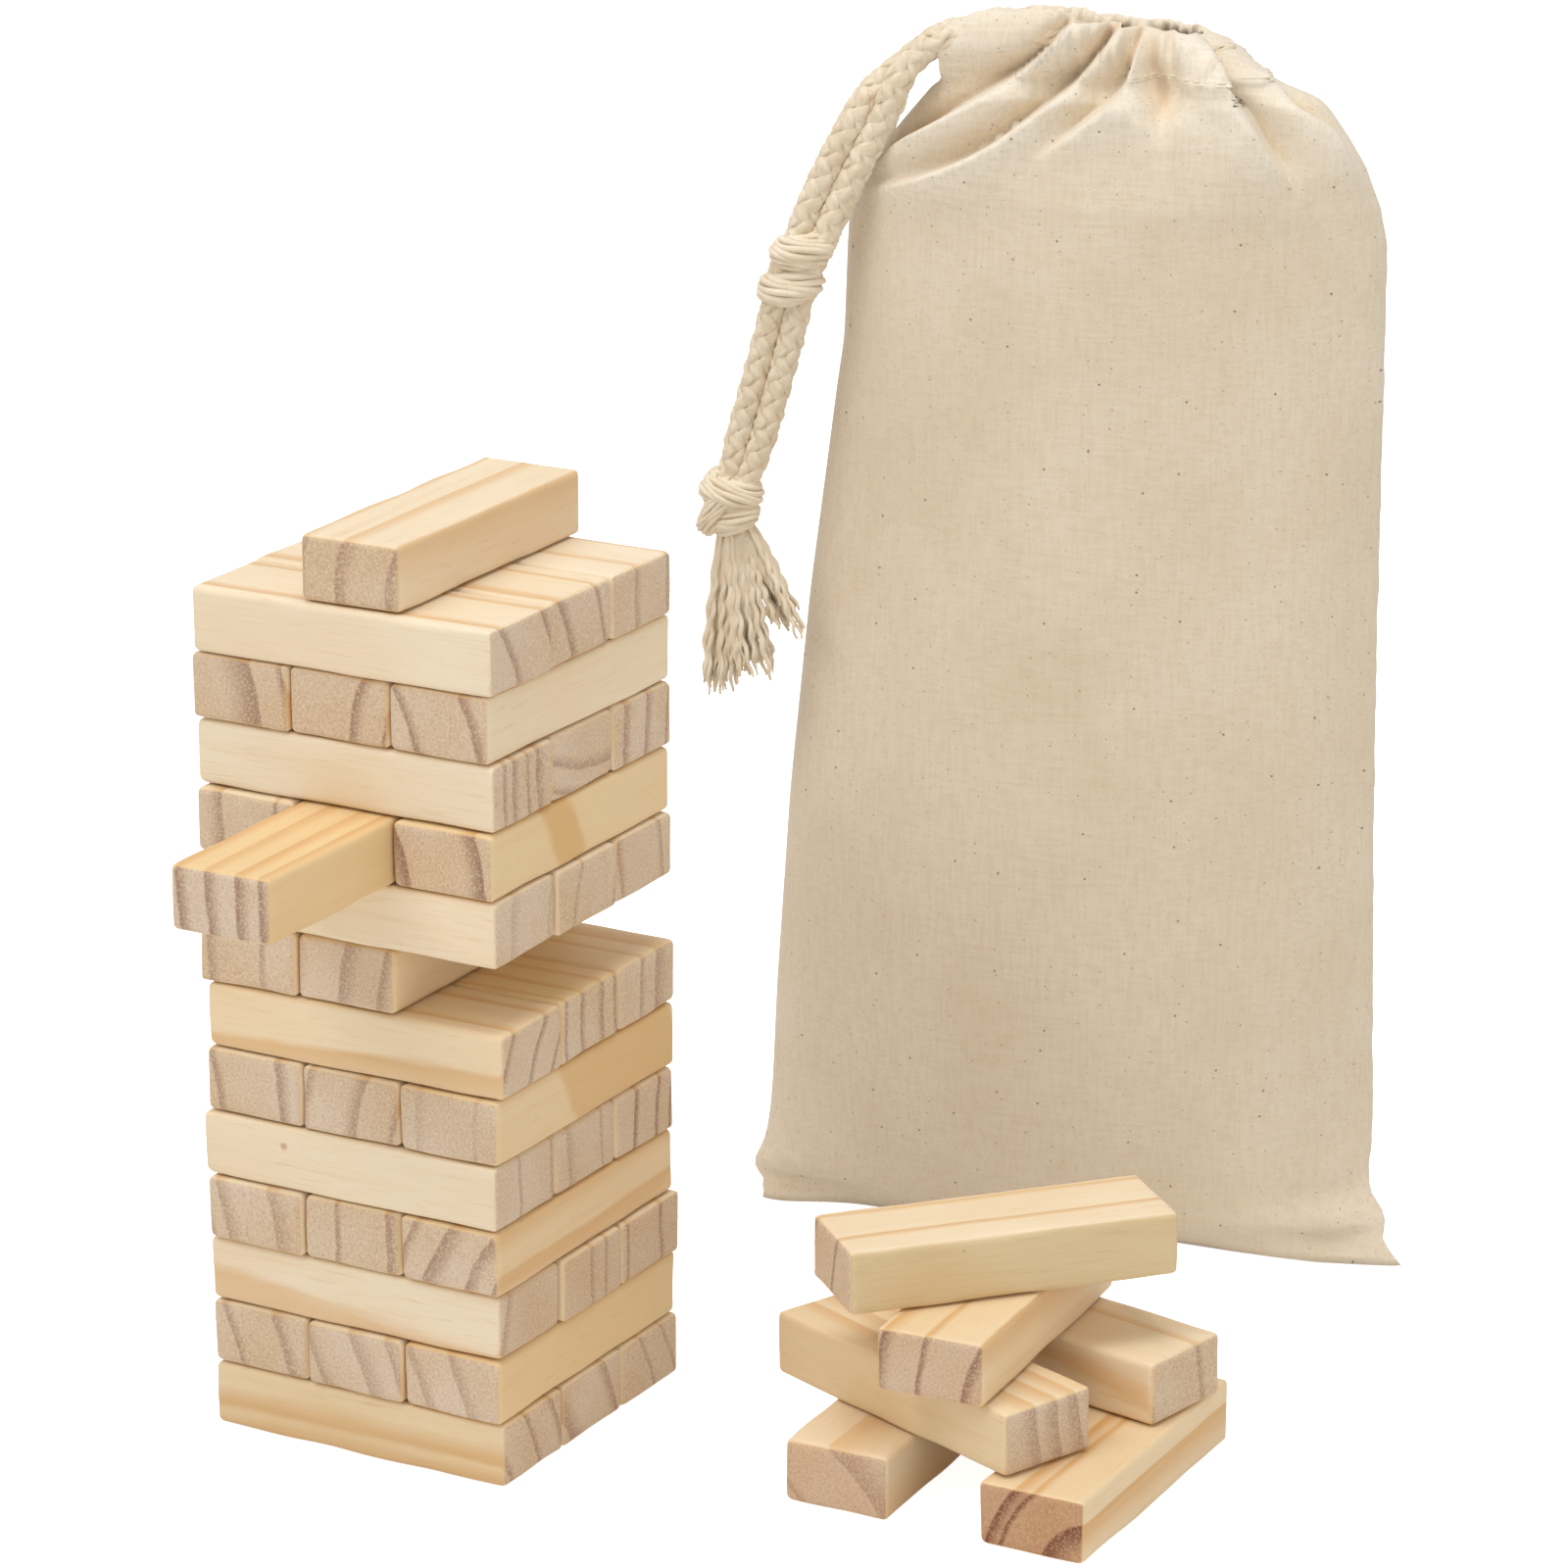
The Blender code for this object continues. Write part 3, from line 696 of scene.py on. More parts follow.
# Upper edge of the hem on the front and on the back: place across the bag and height, in mm
FRONT_RIM = (
    (33.5, 232.0), (36.0, 233.2), (40.0, 235.2), (50.0, 236.0), (54.0, 236.2), (58.0, 234.2),
    (66.0, 233.3), (76.0, 232.9), (83.0, 232.6), (88.0, 231.6), (90.0, 231.2),
)
BACK_RIM = (
    (33.5, 232.0), (40.0, 234.0), (52.0, 235.4), (60.0, 234.6), (70.0, 234.0), (80.0, 233.4),
    (88.0, 231.6), (90.0, 231.2),
)
# Folds on the front that fan out from the gathers. Each overhangs a valley on its outer side:
# height and valley depth in mm, width at its upper and lower end in mm, and its path as places
# across the bag and heights. One with no valley is the same on both sides.
FRONT_FOLDS = (
    (3.4, 3.9, 2.0, 6.5,
     ((60.0, 236.0), (52.0, 226.0), (37.4, 217.0), (24.0, 208.4), (13.5, 197.0))),
    (3.2, 3.8, 1.9, 6.0,
     ((68.4, 236.0), (61.3, 224.6), (52.7, 217.4), (42.3, 209.3), (27.7, 202.9), (17.0, 200.0))),
    (2.8, 3.6, 1.7, 5.0,
     ((70.9, 236.0), (70.5, 228.3), (69.0, 222.5), (65.3, 218.9), (54.0, 209.5))),
    (3.4, 3.6, 3.0, 8.0,
     ((76.5, 236.0), (85.8, 225.0), (91.4, 218.1), (94.0, 213.6), (101.0, 204.5))),
    (3.2, 3.0, 1.7, 4.5,
     ((80.0, 236.0), (88.2, 228.2), (95.7, 222.4), (103.2, 217.5), (106.6, 214.0),
      (112.4, 203.0))),
    (1.8, 0.0, 2.6, 4.0, ((69.5, 219.0), (76.0, 216.0), (83.5, 219.5))),
    (-5.2, 0.0, 1.3, 2.2,
     ((69.4, 237.0), (72.4, 229.5), (74.6, 223.8), (75.6, 220.5), (76.5, 212.0))),
    (-2.4, 0.0, 0.8, 1.2, ((75.0, 237.0), (76.6, 230.0), (77.6, 225.0), (78.4, 217.0))),
    (-2.4, 0.0, 0.9, 1.3, ((65.0, 236.0), (63.4, 229.0), (62.0, 225.0))),
)
# How wide a fold's steep side and its valley are, at its upper and lower end, in mm
FOLD_DROP = (0.9, 2.3)
VALLEY_WIDTH = (1.5, 4.5)
CREST_ROUNDING = 0.6
FOLD_END_FADE = 0.92
BACK_FOLD_COUNT = 13
FRONT_PLEATS = (2.4 * MM, 0.42 * MM, 0.0)
BACK_PLEATS = (2.3 * MM, 0.70 * MM, 0.6)
PLEAT_START = (0.0520, 0.0560)
PLEAT_RISE = (0.2200, 0.2320)
HEM_ARM = 0.0058
HEM_BULGE = 0.0029
HEM_STITCHED = 0.0012
HEM_LEAN = 0.0015
HEM_TILT = 0.0008
FRONT_REACH = 0.0030
END_REACH = 0.0050
CLOSING_LEAN = 0.0018
CLOTH_THICKNESS = 0.00045
POUCH_TOP = HEM_BOTTOM + 0.0015
HEM_SPAN = HEM_RIGHT - HEM_BULGE + HEM_STITCHED + FRONT_REACH + END_REACH - HEM_LEFT
FLAP_WIDTH = 0.0165
FLAP_SHARE = 0.17


def profile_at(level):
    """Left edge, right edge and half depth of the pouch at a height."""
    heights, *outline = np.array(SHOULDER_OUTLINE).T * MM
    lines = []
    for plain, drawn in zip(PROFILE, outline):
        low = np.interp(level, PROFILE_HEIGHTS, plain)
        high = np.interp(level, heights, drawn)
        lines.append(low + (high - low) * smooth_step(0.190, 0.200, level))
    return lines


def hem_place(run):
    """A place along the hem, 0 at the front's left end and 2 at the back's, and its direction."""
    straight = HEM_RIGHT - HEM_ARM - HEM_BULGE - HEM_LEFT
    curve = math.pi * HEM_ARM
    along = run * (2 * straight + curve) / 2
    angle = np.clip((along - straight) / HEM_ARM, 0.0, math.pi) - math.pi / 2
    behind = np.clip(along - straight - curve, 0.0, None)
    u = HEM_LEFT + np.minimum(along, straight) - behind + np.cos(angle) * HEM_ARM
    return u, np.sin(angle) * HEM_ARM, np.cos(angle), np.sin(angle)


def hem_lift(run):
    """How far the hem's stitched foot climbs towards its right end."""
    return HEM_TILT * smooth_step(0.40, 1.0, np.minimum(run, 2 - run))


def hem_slope(run, rise):
    """How far the hem stands out from its line, from its foot (rise 0) to its upper edge (1)."""
    inside = np.minimum(run, 2 - run)
    reach = FRONT_REACH * smooth_step(0.40, 0.84, inside)
    reach = reach + END_REACH * smooth_step(0.80, 1.0, inside)
    lean = HEM_LEAN + CLOSING_LEAN * smooth_step(0.35, 0.60, inside)
    return reach * (1 - rise) - lean * rise


def rim_height(u, front):
    """Height of the hem's upper edge at places across the bag."""
    front_top, back_top = [np.interp(u, *np.array(rim).T * MM) for rim in (FRONT_RIM, BACK_RIM)]
    return np.where(front, front_top, back_top)


def drawn_share(share, front):
    """Where the cord draws a share of the cloth's width to; the flap at the left stays flat."""
    flap = FLAP_WIDTH / (HEM_RIGHT - HEM_LEFT)
    flat = share / FLAP_SHARE * flap
    gathered = flap + (share - FLAP_SHARE) / (1 - FLAP_SHARE) * (1 - flap)
    return np.where(front, np.where(share < FLAP_SHARE, flat, gathered), share)


def soften(path, rounds=2):
    """Cuts the corners off a path."""
    for _ in range(rounds):
        near = path[:-1] * 0.75 + path[1:] * 0.25
        far = path[:-1] * 0.25 + path[1:] * 0.75
        middle = np.stack((near, far), axis=1).reshape(-1, 2)
        path = np.concatenate((path[:1], middle[1:-1], path[-1:]))
    return path


def nearest_on(path, u, z):
    """Distance from a path, on which side, and how far along it, for places on the cloth."""
    steps = np.diff(path, axis=0)
    lengths = np.linalg.norm(steps, axis=1)
    starts = np.concatenate(([0.0], np.cumsum(lengths)))
    best, place, side = np.full_like(u, 1.0), np.zeros_like(u), np.ones_like(u)
    for (u0, z0), (step_u, step_z), length, before in zip(path, steps, lengths, starts):
        along = ((u - u0) * step_u + (z - z0) * step_z) / length**2
        along = np.clip(along, 0.0, 1.0)
        du, dz = u - u0 - step_u * along, z - z0 - step_z * along
        away = np.hypot(du, dz)
        nearer = away < best
        best = np.where(nearer, away, best)
        place = np.where(nearer, (before + length * along) / starts[-1], place)
        side = np.where(nearer, np.sign(step_u * dz - step_z * du), side)
    return best, side, place


def fold_relief(u, z, folds):
    """Sum of the folds at places on the cloth."""
    total = np.zeros_like(u)
    for height, depth, upper, lower, path in folds:
        path = soften(np.array(path) * MM)
        away, side, place = nearest_on(path, u, z)
        widths = ((upper, lower), FOLD_DROP, VALLEY_WIDTH)
        width, drop, hollow = [(top + (foot - top) * place) * MM for top, foot in widths]
        rounding = CREST_ROUNDING * MM
        reach = (np.sqrt(away**2 + rounding**2) - rounding) / width
        gentle = height * np.exp(-(reach**1.25))
        fall = smooth_step(0.0, 1.0, away / drop)
        beyond = np.exp(-(np.clip((away - drop) / hollow, 0.0, None) ** 1.5))
        steep = height * (1 - fall) - depth * fall * beyond
        outer = side * np.sign(path[-1, 0] - path[0, 0]) > 0
        fade = 1 - smooth_step(0.60, 1.0, place) * FOLD_END_FADE
        total += np.where(outer & (depth > 0), steep, gentle) * fade * MM
    return total


def back_folds():
    """Folds that fan out over the back, at seeded places."""
    chance = random.Random(5)
    folds = []
    for number in range(BACK_FOLD_COUNT):
        share = (number + 0.5 + chance.uniform(-0.25, 0.25)) / BACK_FOLD_COUNT
        top, foot = 36 + share * 50, 16 + share * 96
        drop = chance.uniform(16, 30)
        height = chance.uniform(1.8, 2.6) * (1 if number % 2 else -1)
        middle = (top * 0.62 + foot * 0.38, 235 - drop * 0.5)
        path = ((top, 236.0), middle, (foot, 235 - drop))
        folds.append((height, 0.0, 1.5, chance.uniform(3.5, 5.0), path))
    return folds


BACK_FOLDS = back_folds()


def gather_relief(u, v, z, front):
    """Folds and small pleats where the cord draws the cloth in."""
    folds = np.where(front, fold_relief(u, z, FRONT_FOLDS), fold_relief(u, z, BACK_FOLDS))
    pitch, depth, flap_share = [np.where(front, *pair) for pair in zip(FRONT_PLEATS, BACK_PLEATS)]
    wander = scalar_noise(u * 160, z * 40, np.where(front, 3.0, 7.0))
    pleat = np.cos(u / pitch * 2 * math.pi + 2.6 * wander)
    begun, high = smooth_step(*PLEAT_START, u), smooth_step(*PLEAT_RISE, z)
    inside = begun + (1 - begun) * flap_share
    rough = scalar_noise(u * 500, z * 260, np.where(front, 11.0, 15.0)) * 0.10 * MM
    total = folds + pleat * depth * inside * high + rough * high
    side_width = 0.0042 + 0.0014 * (1 - smooth_step(0.2160, 0.2240, z))
    return total * smooth_step(0.0, side_width, np.abs(v))


# ---------------------------------------------------------------- bag cloth

SAG_FRAMES = 22
SAG_LIMIT = 0.0035
SAG_GRID = (120, 73)
CLOTH_GRID = (420, 202)
COARSE_EASING = 14
FINE_EASING = 12
FOOT_HEIGHT = 0.040
FOLD_SHARE = 0.4
LEAST_DEPTH = 0.6
LINING_SHARE = 0.8
LINING_STEP = 3
LINING_FOOT = CLOTH_THICKNESS + 0.0002
FOLD_UNIT = 0.004
CLOTH_SETTINGS = {
    "quality": 6,
    "mass": 0.12,
    "tension_stiffness": 8.0,
    "compression_stiffness": 4.0,
    "shear_stiffness": 2.0,
    "bending_stiffness": 0.12,
    "vertex_group_mass": "pins",
    "shrink_min": -0.035,
    "use_pressure": True,
    "uniform_pressure_force": 1.2,
}


def pouch_grid(count, rows):
    """Angles round the pouch and heights up it, closer together under the gathers."""
    share = np.linspace(0.0, 1.0, rows)
    return np.arange(count) / count * 2 * math.pi, POUCH_TOP * (share * 1.62 - 0.62 * share**2.0)


def bag_sheet(turn, height):
    """The pouch's plain surface at angles (0 left, half a turn right) and heights."""
    front = np.sin(turn) >= -1e-9
    share = (1 - np.cos(turn)) / 2
    drawn = drawn_share(share, front)
    run = np.where(front, drawn, 2 - drawn)
    level = height + hem_lift(run) * smooth_step(0.195, POUCH_TOP, height)
    share = share + (drawn - share) * smooth_step(0.180, 0.222, level)
    hem_u, hem_v, toward_u, toward_v = hem_place(run)
    hem_share = hem_u + toward_u * (HEM_STITCHED + hem_slope(run, 0.0)) - HEM_LEFT
    hem_share = np.clip(hem_share / HEM_SPAN, 0.0, 1.0)
    share = share + (hem_share - share) * smooth_step(0.200, POUCH_TOP - 0.001, height)
    left, right, depth = profile_at(level)
    power = 1.6 + 0.9 * smooth_step(0.195, 0.222, level)
    deep = np.clip(1 - np.abs(2 * share - 1) ** power, 0.0, 1.0) ** (1 / power)
    u = left + (right - left) * share
    v = -np.where(front, 1.0, -1.0) * deep * depth
    foot = HEM_BOTTOM + hem_lift(run)
    rise = np.clip((level - foot) / (rim_height(hem_u, front) - foot), 0.0, 1.0)
    under = HEM_STITCHED - 0.0001 + hem_slope(run, rise)
    below_top = level - POUCH_TOP - hem_lift(run)
    near = smooth_step(-0.006, -0.0015, below_top)
    u += (hem_u + toward_u * under - u) * near
    v += (hem_v + toward_v * under - v) * near
    level_out = smooth_step(-0.020, -0.0015, below_top)
    return np.stack((u, v, level), axis=-1), front, level_out, (toward_u, toward_v)


def outward_normals(points):
    """Unit normals of a gridded sheet that closes on itself along its first axis."""
    along = np.roll(points, -1, axis=0) - np.roll(points, 1, axis=0)
    normal = np.cross(along, np.gradient(points, axis=1))
    return normal / np.maximum(np.linalg.norm(normal, axis=-1, keepdims=True), 1e-12)


def simulate_sag(points):
    """Lets a coarse pouch of slack cloth settle and gives how far each point moved."""
    count, rows = points.shape[:2]
    piece = make_piece("sag_cloth", points.reshape(-1, 3), grid_faces(count, rows), smooth=False)
    pins = piece.vertex_groups.new(name="pins")
    holds = smooth_step(0.185, 0.205, points[..., 2])
    holds[:, 0] = 1.0
    for index, hold in enumerate(holds.ravel()):
        pins.add([index], float(hold), "REPLACE")
    cloth = piece.modifiers.new("cloth", "CLOTH")
    for key, value in CLOTH_SETTINGS.items():
        setattr(cloth.settings, key, value)
    cloth.collision_settings.use_collision = False
    scene = bpy.context.scene
    for step in range(1, SAG_FRAMES + 1):
        scene.frame_set(step)
    settled = piece.evaluated_get(bpy.context.evaluated_depsgraph_get())
    shift = mesh_points(settled.data).reshape(count, rows, 3) - points
    scene.frame_set(1)
    bpy.data.objects.remove(piece, do_unlink=True)
    size = np.linalg.norm(shift, axis=-1, keepdims=True)
    return shift * np.minimum(1.0, SAG_LIMIT / np.maximum(size, 1e-9))


def grid_faces(count, rows, base=0):
    """Quads of a sheet that closes on itself along its first axis."""
    faces = []
    for i in range(count):
        start, after = base + i * rows, base + (i + 1) % count * rows
        faces += [(start + k, after + k, after + k + 1, start + k + 1) for k in range(rows - 1)]
    return faces


def ease_round(shift, passes):
    """Evens out a sheet's shifts round the bag, so that no ripples are left."""
    for _ in range(passes):
        shift = (np.roll(shift, 1, axis=0) + 2 * shift + np.roll(shift, -1, axis=0)) / 4
    return shift


def resample_shift(shift, coarse_heights, angles, heights):
    """Spreads a coarse grid's shifts over a fine grid."""
    shift = ease_round(shift, COARSE_EASING)
    wrapped = np.concatenate((shift, shift[:1]), axis=0)
    place = angles / (2 * math.pi) * len(shift)
    first = np.floor(place).astype(int)
    part = (place - first)[:, None, None]
    by_angle = wrapped[first] * (1 - part) + wrapped[first + 1] * part
    fine = [[np.interp(heights, coarse_heights, line) for line in column.T] for column in by_angle]
    return ease_round(np.array(fine).transpose(0, 2, 1), FINE_EASING)


def body_relief(turn, points, front):
    """Slack in the cloth, the puckered side seam and the creases at the lower right corner."""
    share = (1 - np.cos(turn)) / 2
    z = points[..., 2]
    side = np.where(front, 0.0, 9.0)
    slack = scalar_noise(share * 2.2, z * 15, side) + 0.3 * scalar_noise(share * 6, z * 42, side)
    pucker = scalar_noise(share * 14, z * 190, side + 4)
    crease = scalar_noise(share * 16 + z * 130, z * 60 - share * 8, side + 21)
    body = smooth_step(0.0, 0.03, z) * (1 - smooth_step(0.185, 0.205, z))
    seam = np.exp(-(((share - 1.0) / 0.03) ** 2)) * (1 - smooth_step(0.19, 0.21, z))
    corner = np.exp(-((z / 0.024) ** 2)) * smooth_step(0.72, 0.97, share)
    edge = 1 - np.exp(-((np.minimum(share, 1 - share) / 0.02) ** 2))
    return (slack * 0.75 * body * edge + pucker * 0.3 * seam + crease * 0.7 * corner * edge) * MM


def half_gap(points):
    """Half the distance, front to back, from each point to the one across the pouch."""
    across = np.roll(points[::-1], 1, axis=0)
    return (across[..., 1] - points[..., 1]) / 2


def sagged(points, front, angles, heights):
    """The pouch's sheet with its simulated sag, and with its front and back kept apart."""
    coarse_angles, coarse_heights = pouch_grid(*SAG_GRID)
    coarse = bag_sheet(*np.meshgrid(coarse_angles, coarse_heights, indexing="ij"))[0]
    plain = np.abs(half_gap(points))
    points = points + resample_shift(simulate_sag(coarse), coarse_heights, angles, heights)
    gap = half_gap(points)
    facing = np.where(front, 1.0, -1.0)
    points[..., 1] += gap - facing * np.maximum(facing * gap, LEAST_DEPTH * plain)
    return points


def shape_foot(points, share, height):
    """Flares the pouch's right corner, tucks its left one in and draws both forward."""
    left_corner = smooth_step(0.12, 0.0, share)
    flare = 0.0041 * np.exp(-((height / 0.0078) ** 2))
    tuck = 0.0024 * np.exp(-((height / 0.0026) ** 2))
    tuck = tuck - 0.0006 * np.exp(-(((height - 0.006) / 0.004) ** 2))
    points[..., 0] += flare * smooth_step(0.90, 1.0, share) + tuck * left_corner
    forward = 0.0050 * smooth_step(0.18, 0.0, share) + 0.0072 * smooth_step(0.55, 0.95, share)
    points[..., 1] -= forward * np.exp(-((height / 0.012) ** 2))
    points[..., 2] = np.maximum(points[..., 2], 0.0002)


def make_pouch():
    """The pouch's cloth, with its plain shape, its simulated sag and its folds, and the folds."""
    angles, heights = pouch_grid(*CLOTH_GRID)
    turn, height = np.meshgrid(angles, heights, indexing="ij")
    points, front, near, toward = bag_sheet(turn, height)
    folds = gather_relief(*np.moveaxis(points, -1, 0), front) + body_relief(turn, points, front)
    points = sagged(points, front, angles, heights)
    shallow = -FOLD_SHARE * np.abs(half_gap(points))
    folds = np.where(height < FOOT_HEIGHT, np.maximum(folds, shallow), folds)
    direction = outward_normals(points) * (1 - near[..., None])
    for axis in (0, 1):
        direction[..., axis] += toward[axis] * near
    points = points + direction * folds[..., None]
    shape_foot(points, (1 - np.cos(turn)) / 2, height)
    return points, folds


def foot_faces(count, rows, base=0):
    """Closes a pouch across its foot, from the front's lowest row to the back's."""
    faces = []
    for i in range(count // 2):
        ring = (i, i + 1, (count - i - 1) % count, (count - i) % count)
        faces.append(tuple(base + place * rows for place in dict.fromkeys(ring))[::-1])
    return faces


def make_lining(points):
    """The inside of the pouch's cloth, coarser round the bag, kept between front and back."""
    gap = half_gap(points)
    lining = points - outward_normals(points) * CLOTH_THICKNESS
    reach = np.minimum(np.abs(lining[..., 1] - points[..., 1]), LINING_SHARE * np.abs(gap))
    lining[..., 1] = points[..., 1] + np.sign(gap) * reach
    lining[:, 0, 2] = LINING_FOOT
    return lining[::LINING_STEP]


def add_pouch(cloth):
    """The pouch: an outer skin, a coarser lining, and the cut edge that joins them."""
    points, folds = make_pouch()
    lining = make_lining(points)
    count, rows = points.shape[:2]
    few, base = len(lining), count * rows
    faces = grid_faces(count, rows) + foot_faces(count, rows)
    faces += [face[::-1] for face in grid_faces(few, rows, base) + foot_faces(few, rows, base)]
    for c in range(few):
        outer = [(c * LINING_STEP + k) % count * rows for k in range(LINING_STEP + 1)]
        inner = [base + place * rows for place in ((c + 1) % few, c)]
        faces.append(tuple(place + rows - 1 for place in outer + inner))
    every = np.concatenate((points, lining)).reshape(-1, 3)
    every_fold = np.concatenate((folds, folds[::LINING_STEP]))
    add_cloth_piece("bag_pouch", every, faces, every_fold, cloth, "bag_body")


def add_cloth_piece(name, points, faces, folds, cloth, node_name):
    """A cloth piece on the bag, which knows how deep it is folded."""
    piece = make_piece(name, points, faces)
    # The stored fold depth also sets the cloth's painted highlight on crests and painted shade in valleys
    store_value(piece, "fold", folds.ravel() / FOLD_UNIT)
    fix_normals(piece)
    piece.matrix_world = BAG
    fit_piece(piece, cloth, "cotton_cloth", "bag", node_name)


# ---------------------------------------------------------------- gathered hem

HEM_STEPS = 470
HEM_SECTION = 15
HEM_SKIN = 0.0006
STITCH_LINE = -0.84
STITCH_LENGTH = 0.0017
STITCH_PITCH = 0.0025
STITCH_RADIUS = 0.00017


def hem_surface(run, height, side, skin=0.0):
    """Points on the hem: places along it, a share of its height from -1 to 1, and its side."""
    u, v, toward_u, toward_v = hem_place(run)
    front = run <= 1
    foot = HEM_BOTTOM + hem_lift(run) + skin
    ragged = scalar_noise(u * 330, 0.0, np.where(front, 2.0, 6.0)) * 0.45 * MM
    top = rim_height(u, front) + ragged - skin
    level = (foot + top) / 2 + (top - foot) / 2 * height
    bulge = HEM_BULGE - 0.0011 * smooth_step(0.75, 1.0, np.minimum(run, 2 - run))
    if height < 0:
        swell = HEM_STITCHED + (bulge - HEM_STITCHED) * math.cos(math.pi / 2 * height) ** 2
    else:
        swell = bulge * math.sqrt(1 - abs(height) ** 2.6)
    slope = hem_slope(run, (height + 1) / 2)
    relief = gather_relief(u + toward_u * slope, v + toward_v * slope, level, front)
    out = side * np.maximum(swell - skin, 0.0) + slope + relief
    return np.column_stack((u + toward_u * out, v + toward_v * out, level, relief))


def add_hem(cloth):
    """The turned-over hem: a flattened tube of cloth whose two ends let the cord out."""
    run = np.linspace(0.0, 2.0, HEM_STEPS)
    turns = [(step / (HEM_SECTION - 0.5) - 0.5) * math.pi for step in range(HEM_SECTION)]
    sections = [(math.sin(turn * side), side) for side in (1, -1) for turn in turns]
    rings = [hem_surface(run, *place, skin) for skin in (0.0, HEM_SKIN) for place in sections]
    rings = np.array(rings)
    points, faces = hem_mesh(rings[..., :3])
    add_cloth_piece("bag_hem", points, faces, rings[..., 3], cloth, "bag_hem_channel")


def hem_mesh(rings):
    """Joins the hem's outer and inner skins, and closes the cloth at both open ends."""
    around, steps = 2 * HEM_SECTION, rings.shape[1]
    inner = around * steps
    faces = []
    for i in range(around):
        row, after = i * steps, (i + 1) % around * steps
        for a, b in zip(range(row, row + steps - 1), range(after, after + steps - 1)):
            faces.append((a, a + 1, b + 1, b))
            faces.append((a + inner, b + inner, b + inner + 1, a + inner + 1))
        for end in (0, steps - 1):
            faces.append((row + end, after + end, after + inner + end, row + inner + end))
    return rings.reshape(-1, 3), faces


def add_hem_stitches(thread):
    """A row of lock stitches along the foot of the hem."""
    run = np.linspace(0.0, 2.0, 900)
    points = hem_surface(run, STITCH_LINE, 1)[:, :3]
    points[:, :2] += np.column_stack(hem_place(run)[2:]) * 0.00008
    lengths = path_lengths(points)
    builder = Builder()
    start = 0.0012
    while start + STITCH_LENGTH < lengths[-1]:
        path = points_along(points, lengths, np.linspace(start, start + STITCH_LENGTH, 5))
        builder.tube(path, STITCH_RADIUS, 6, taper=0.5)
        start += STITCH_PITCH
    piece = builder.make("hem_stitches")
    piece.matrix_world = BAG
    fit_piece(piece, thread, "cotton_cloth", "bag")


# ---------------------------------------------------------------- cord


def path_lengths(path):
    """Length along a path up to each of its points."""
    return np.concatenate(([0.0], np.cumsum(np.linalg.norm(np.diff(path, axis=0), axis=1))))


def points_along(path, lengths, places):
    """Points of a path at given lengths along it."""
    return np.column_stack([np.interp(places, lengths, path[:, axis]) for axis in range(3)])


def unit(vectors):
    """Vectors scaled to a length of one."""
    return vectors / np.linalg.norm(vectors, axis=-1, keepdims=True)


def path_frames(path):
    """Two steady cross directions at each point of a path."""
    heading = unit(np.gradient(path, axis=0))
    side = np.cross(heading[0], (0.31, 0.87, 0.38))
    across = np.empty_like(path)
    for i, direction in enumerate(heading):
        side = unit(side - direction * side.dot(direction))
        across[i] = side
    return across, np.cross(heading, across)


def even_path(path, step):
    """A path with points at an even step, and the length up to each."""
    lengths = path_lengths(path)
    count = max(8, int(round(lengths[-1] / step)))
    places = np.linspace(0.0, lengths[-1], count + 1)
    return points_along(path, lengths, places), places


def smooth_path(corners, step=0.0006, rounds=160):
    """An even path that rounds its corners."""
    path = even_path(np.array(corners), step)[0]
    for _ in range(rounds):
        path[1:-1] = (path[:-2] + 2 * path[1:-1] + path[2:]) / 4
    return path


def round_angles(sides):
    """Even angles once round a circle."""
    return np.arange(sides) / sides * 2 * math.pi


class Builder:
    """Collects tubes into one mesh."""

    def __init__(self):
        self.points = []
        self.faces = []
        self.hollow = []
        self.count = 0

    def add(self, rings, hollow):
        """Skins a stack of rings and closes its ends."""
        steps, sides = rings.shape[:2]
        base = self.count
        self.points.append(rings.reshape(-1, 3))
        self.hollow.append(np.broadcast_to(hollow, (steps, sides)).ravel())
        for row in range(base, base + (steps - 1) * sides, sides):
            after = row + sides
            for j in range(sides):
                k = (j + 1) % sides
                self.faces.append((row + j, row + k, after + k, after + j))
        self.faces.append(tuple(base + j for j in reversed(range(sides))))
        self.faces.append(tuple(base + (steps - 1) * sides + j for j in range(sides)))
        self.count += steps * sides

    def tube(self, path, radius, sides, taper=1.0, hollow=0.0):
        """A round tube along a path, narrowed at both ends."""
        across, other = path_frames(path)
        angles = round_angles(sides)[None, :, None]
        share = np.abs(np.linspace(-1, 1, len(path)))
        width = radius * (1 - (1 - taper) * share**4)
        circle = across[:, None] * np.cos(angles) + other[:, None] * np.sin(angles)
        self.add(path[:, None] + circle * width[:, None, None], hollow)

    def yarn(self, path, out, height, section, radius, groove, depth):
        """A yarn at a height beside a path, with a section of tall and wide offsets."""
        centre = path + out * height[:, None]
        side = unit(np.cross(np.gradient(centre, axis=0), out))
        tall, wide = section
        rings = centre[:, None] + out[:, None] * tall[..., None] + side[:, None] * wide[..., None]
        away = np.linalg.norm(rings - path[:, None], axis=-1) / radius
        # Painted shade for points lying under other yarns and in the grooves between plies
        self.add(rings, np.clip(np.clip((0.95 - away) / depth, 0.0, 1.0) + groove, 0.0, 1.0))

    def make(self, name):
        """The finished object, with how deep each point lies between its yarns, which sets its painted shade."""
        piece = make_piece(name, np.concatenate(self.points), self.faces)
        store_value(piece, "hollow", np.concatenate(self.hollow))
        fix_normals(piece)
        return piece


YARN_SIDES = 10
PLAIT_PITCH = 0.0190
PLIES = 3
PLY_PITCH = 0.0036
SLIM_SHARE = 0.36
BUNDLE_SIDES = 8
BUNDLE_YARNS = 15
BUNDLE_PITCH = 0.034
# Painted shade on the plain core tube inside each plait and bundle, where it shows between yarns
CORE_SHADE = 0.8


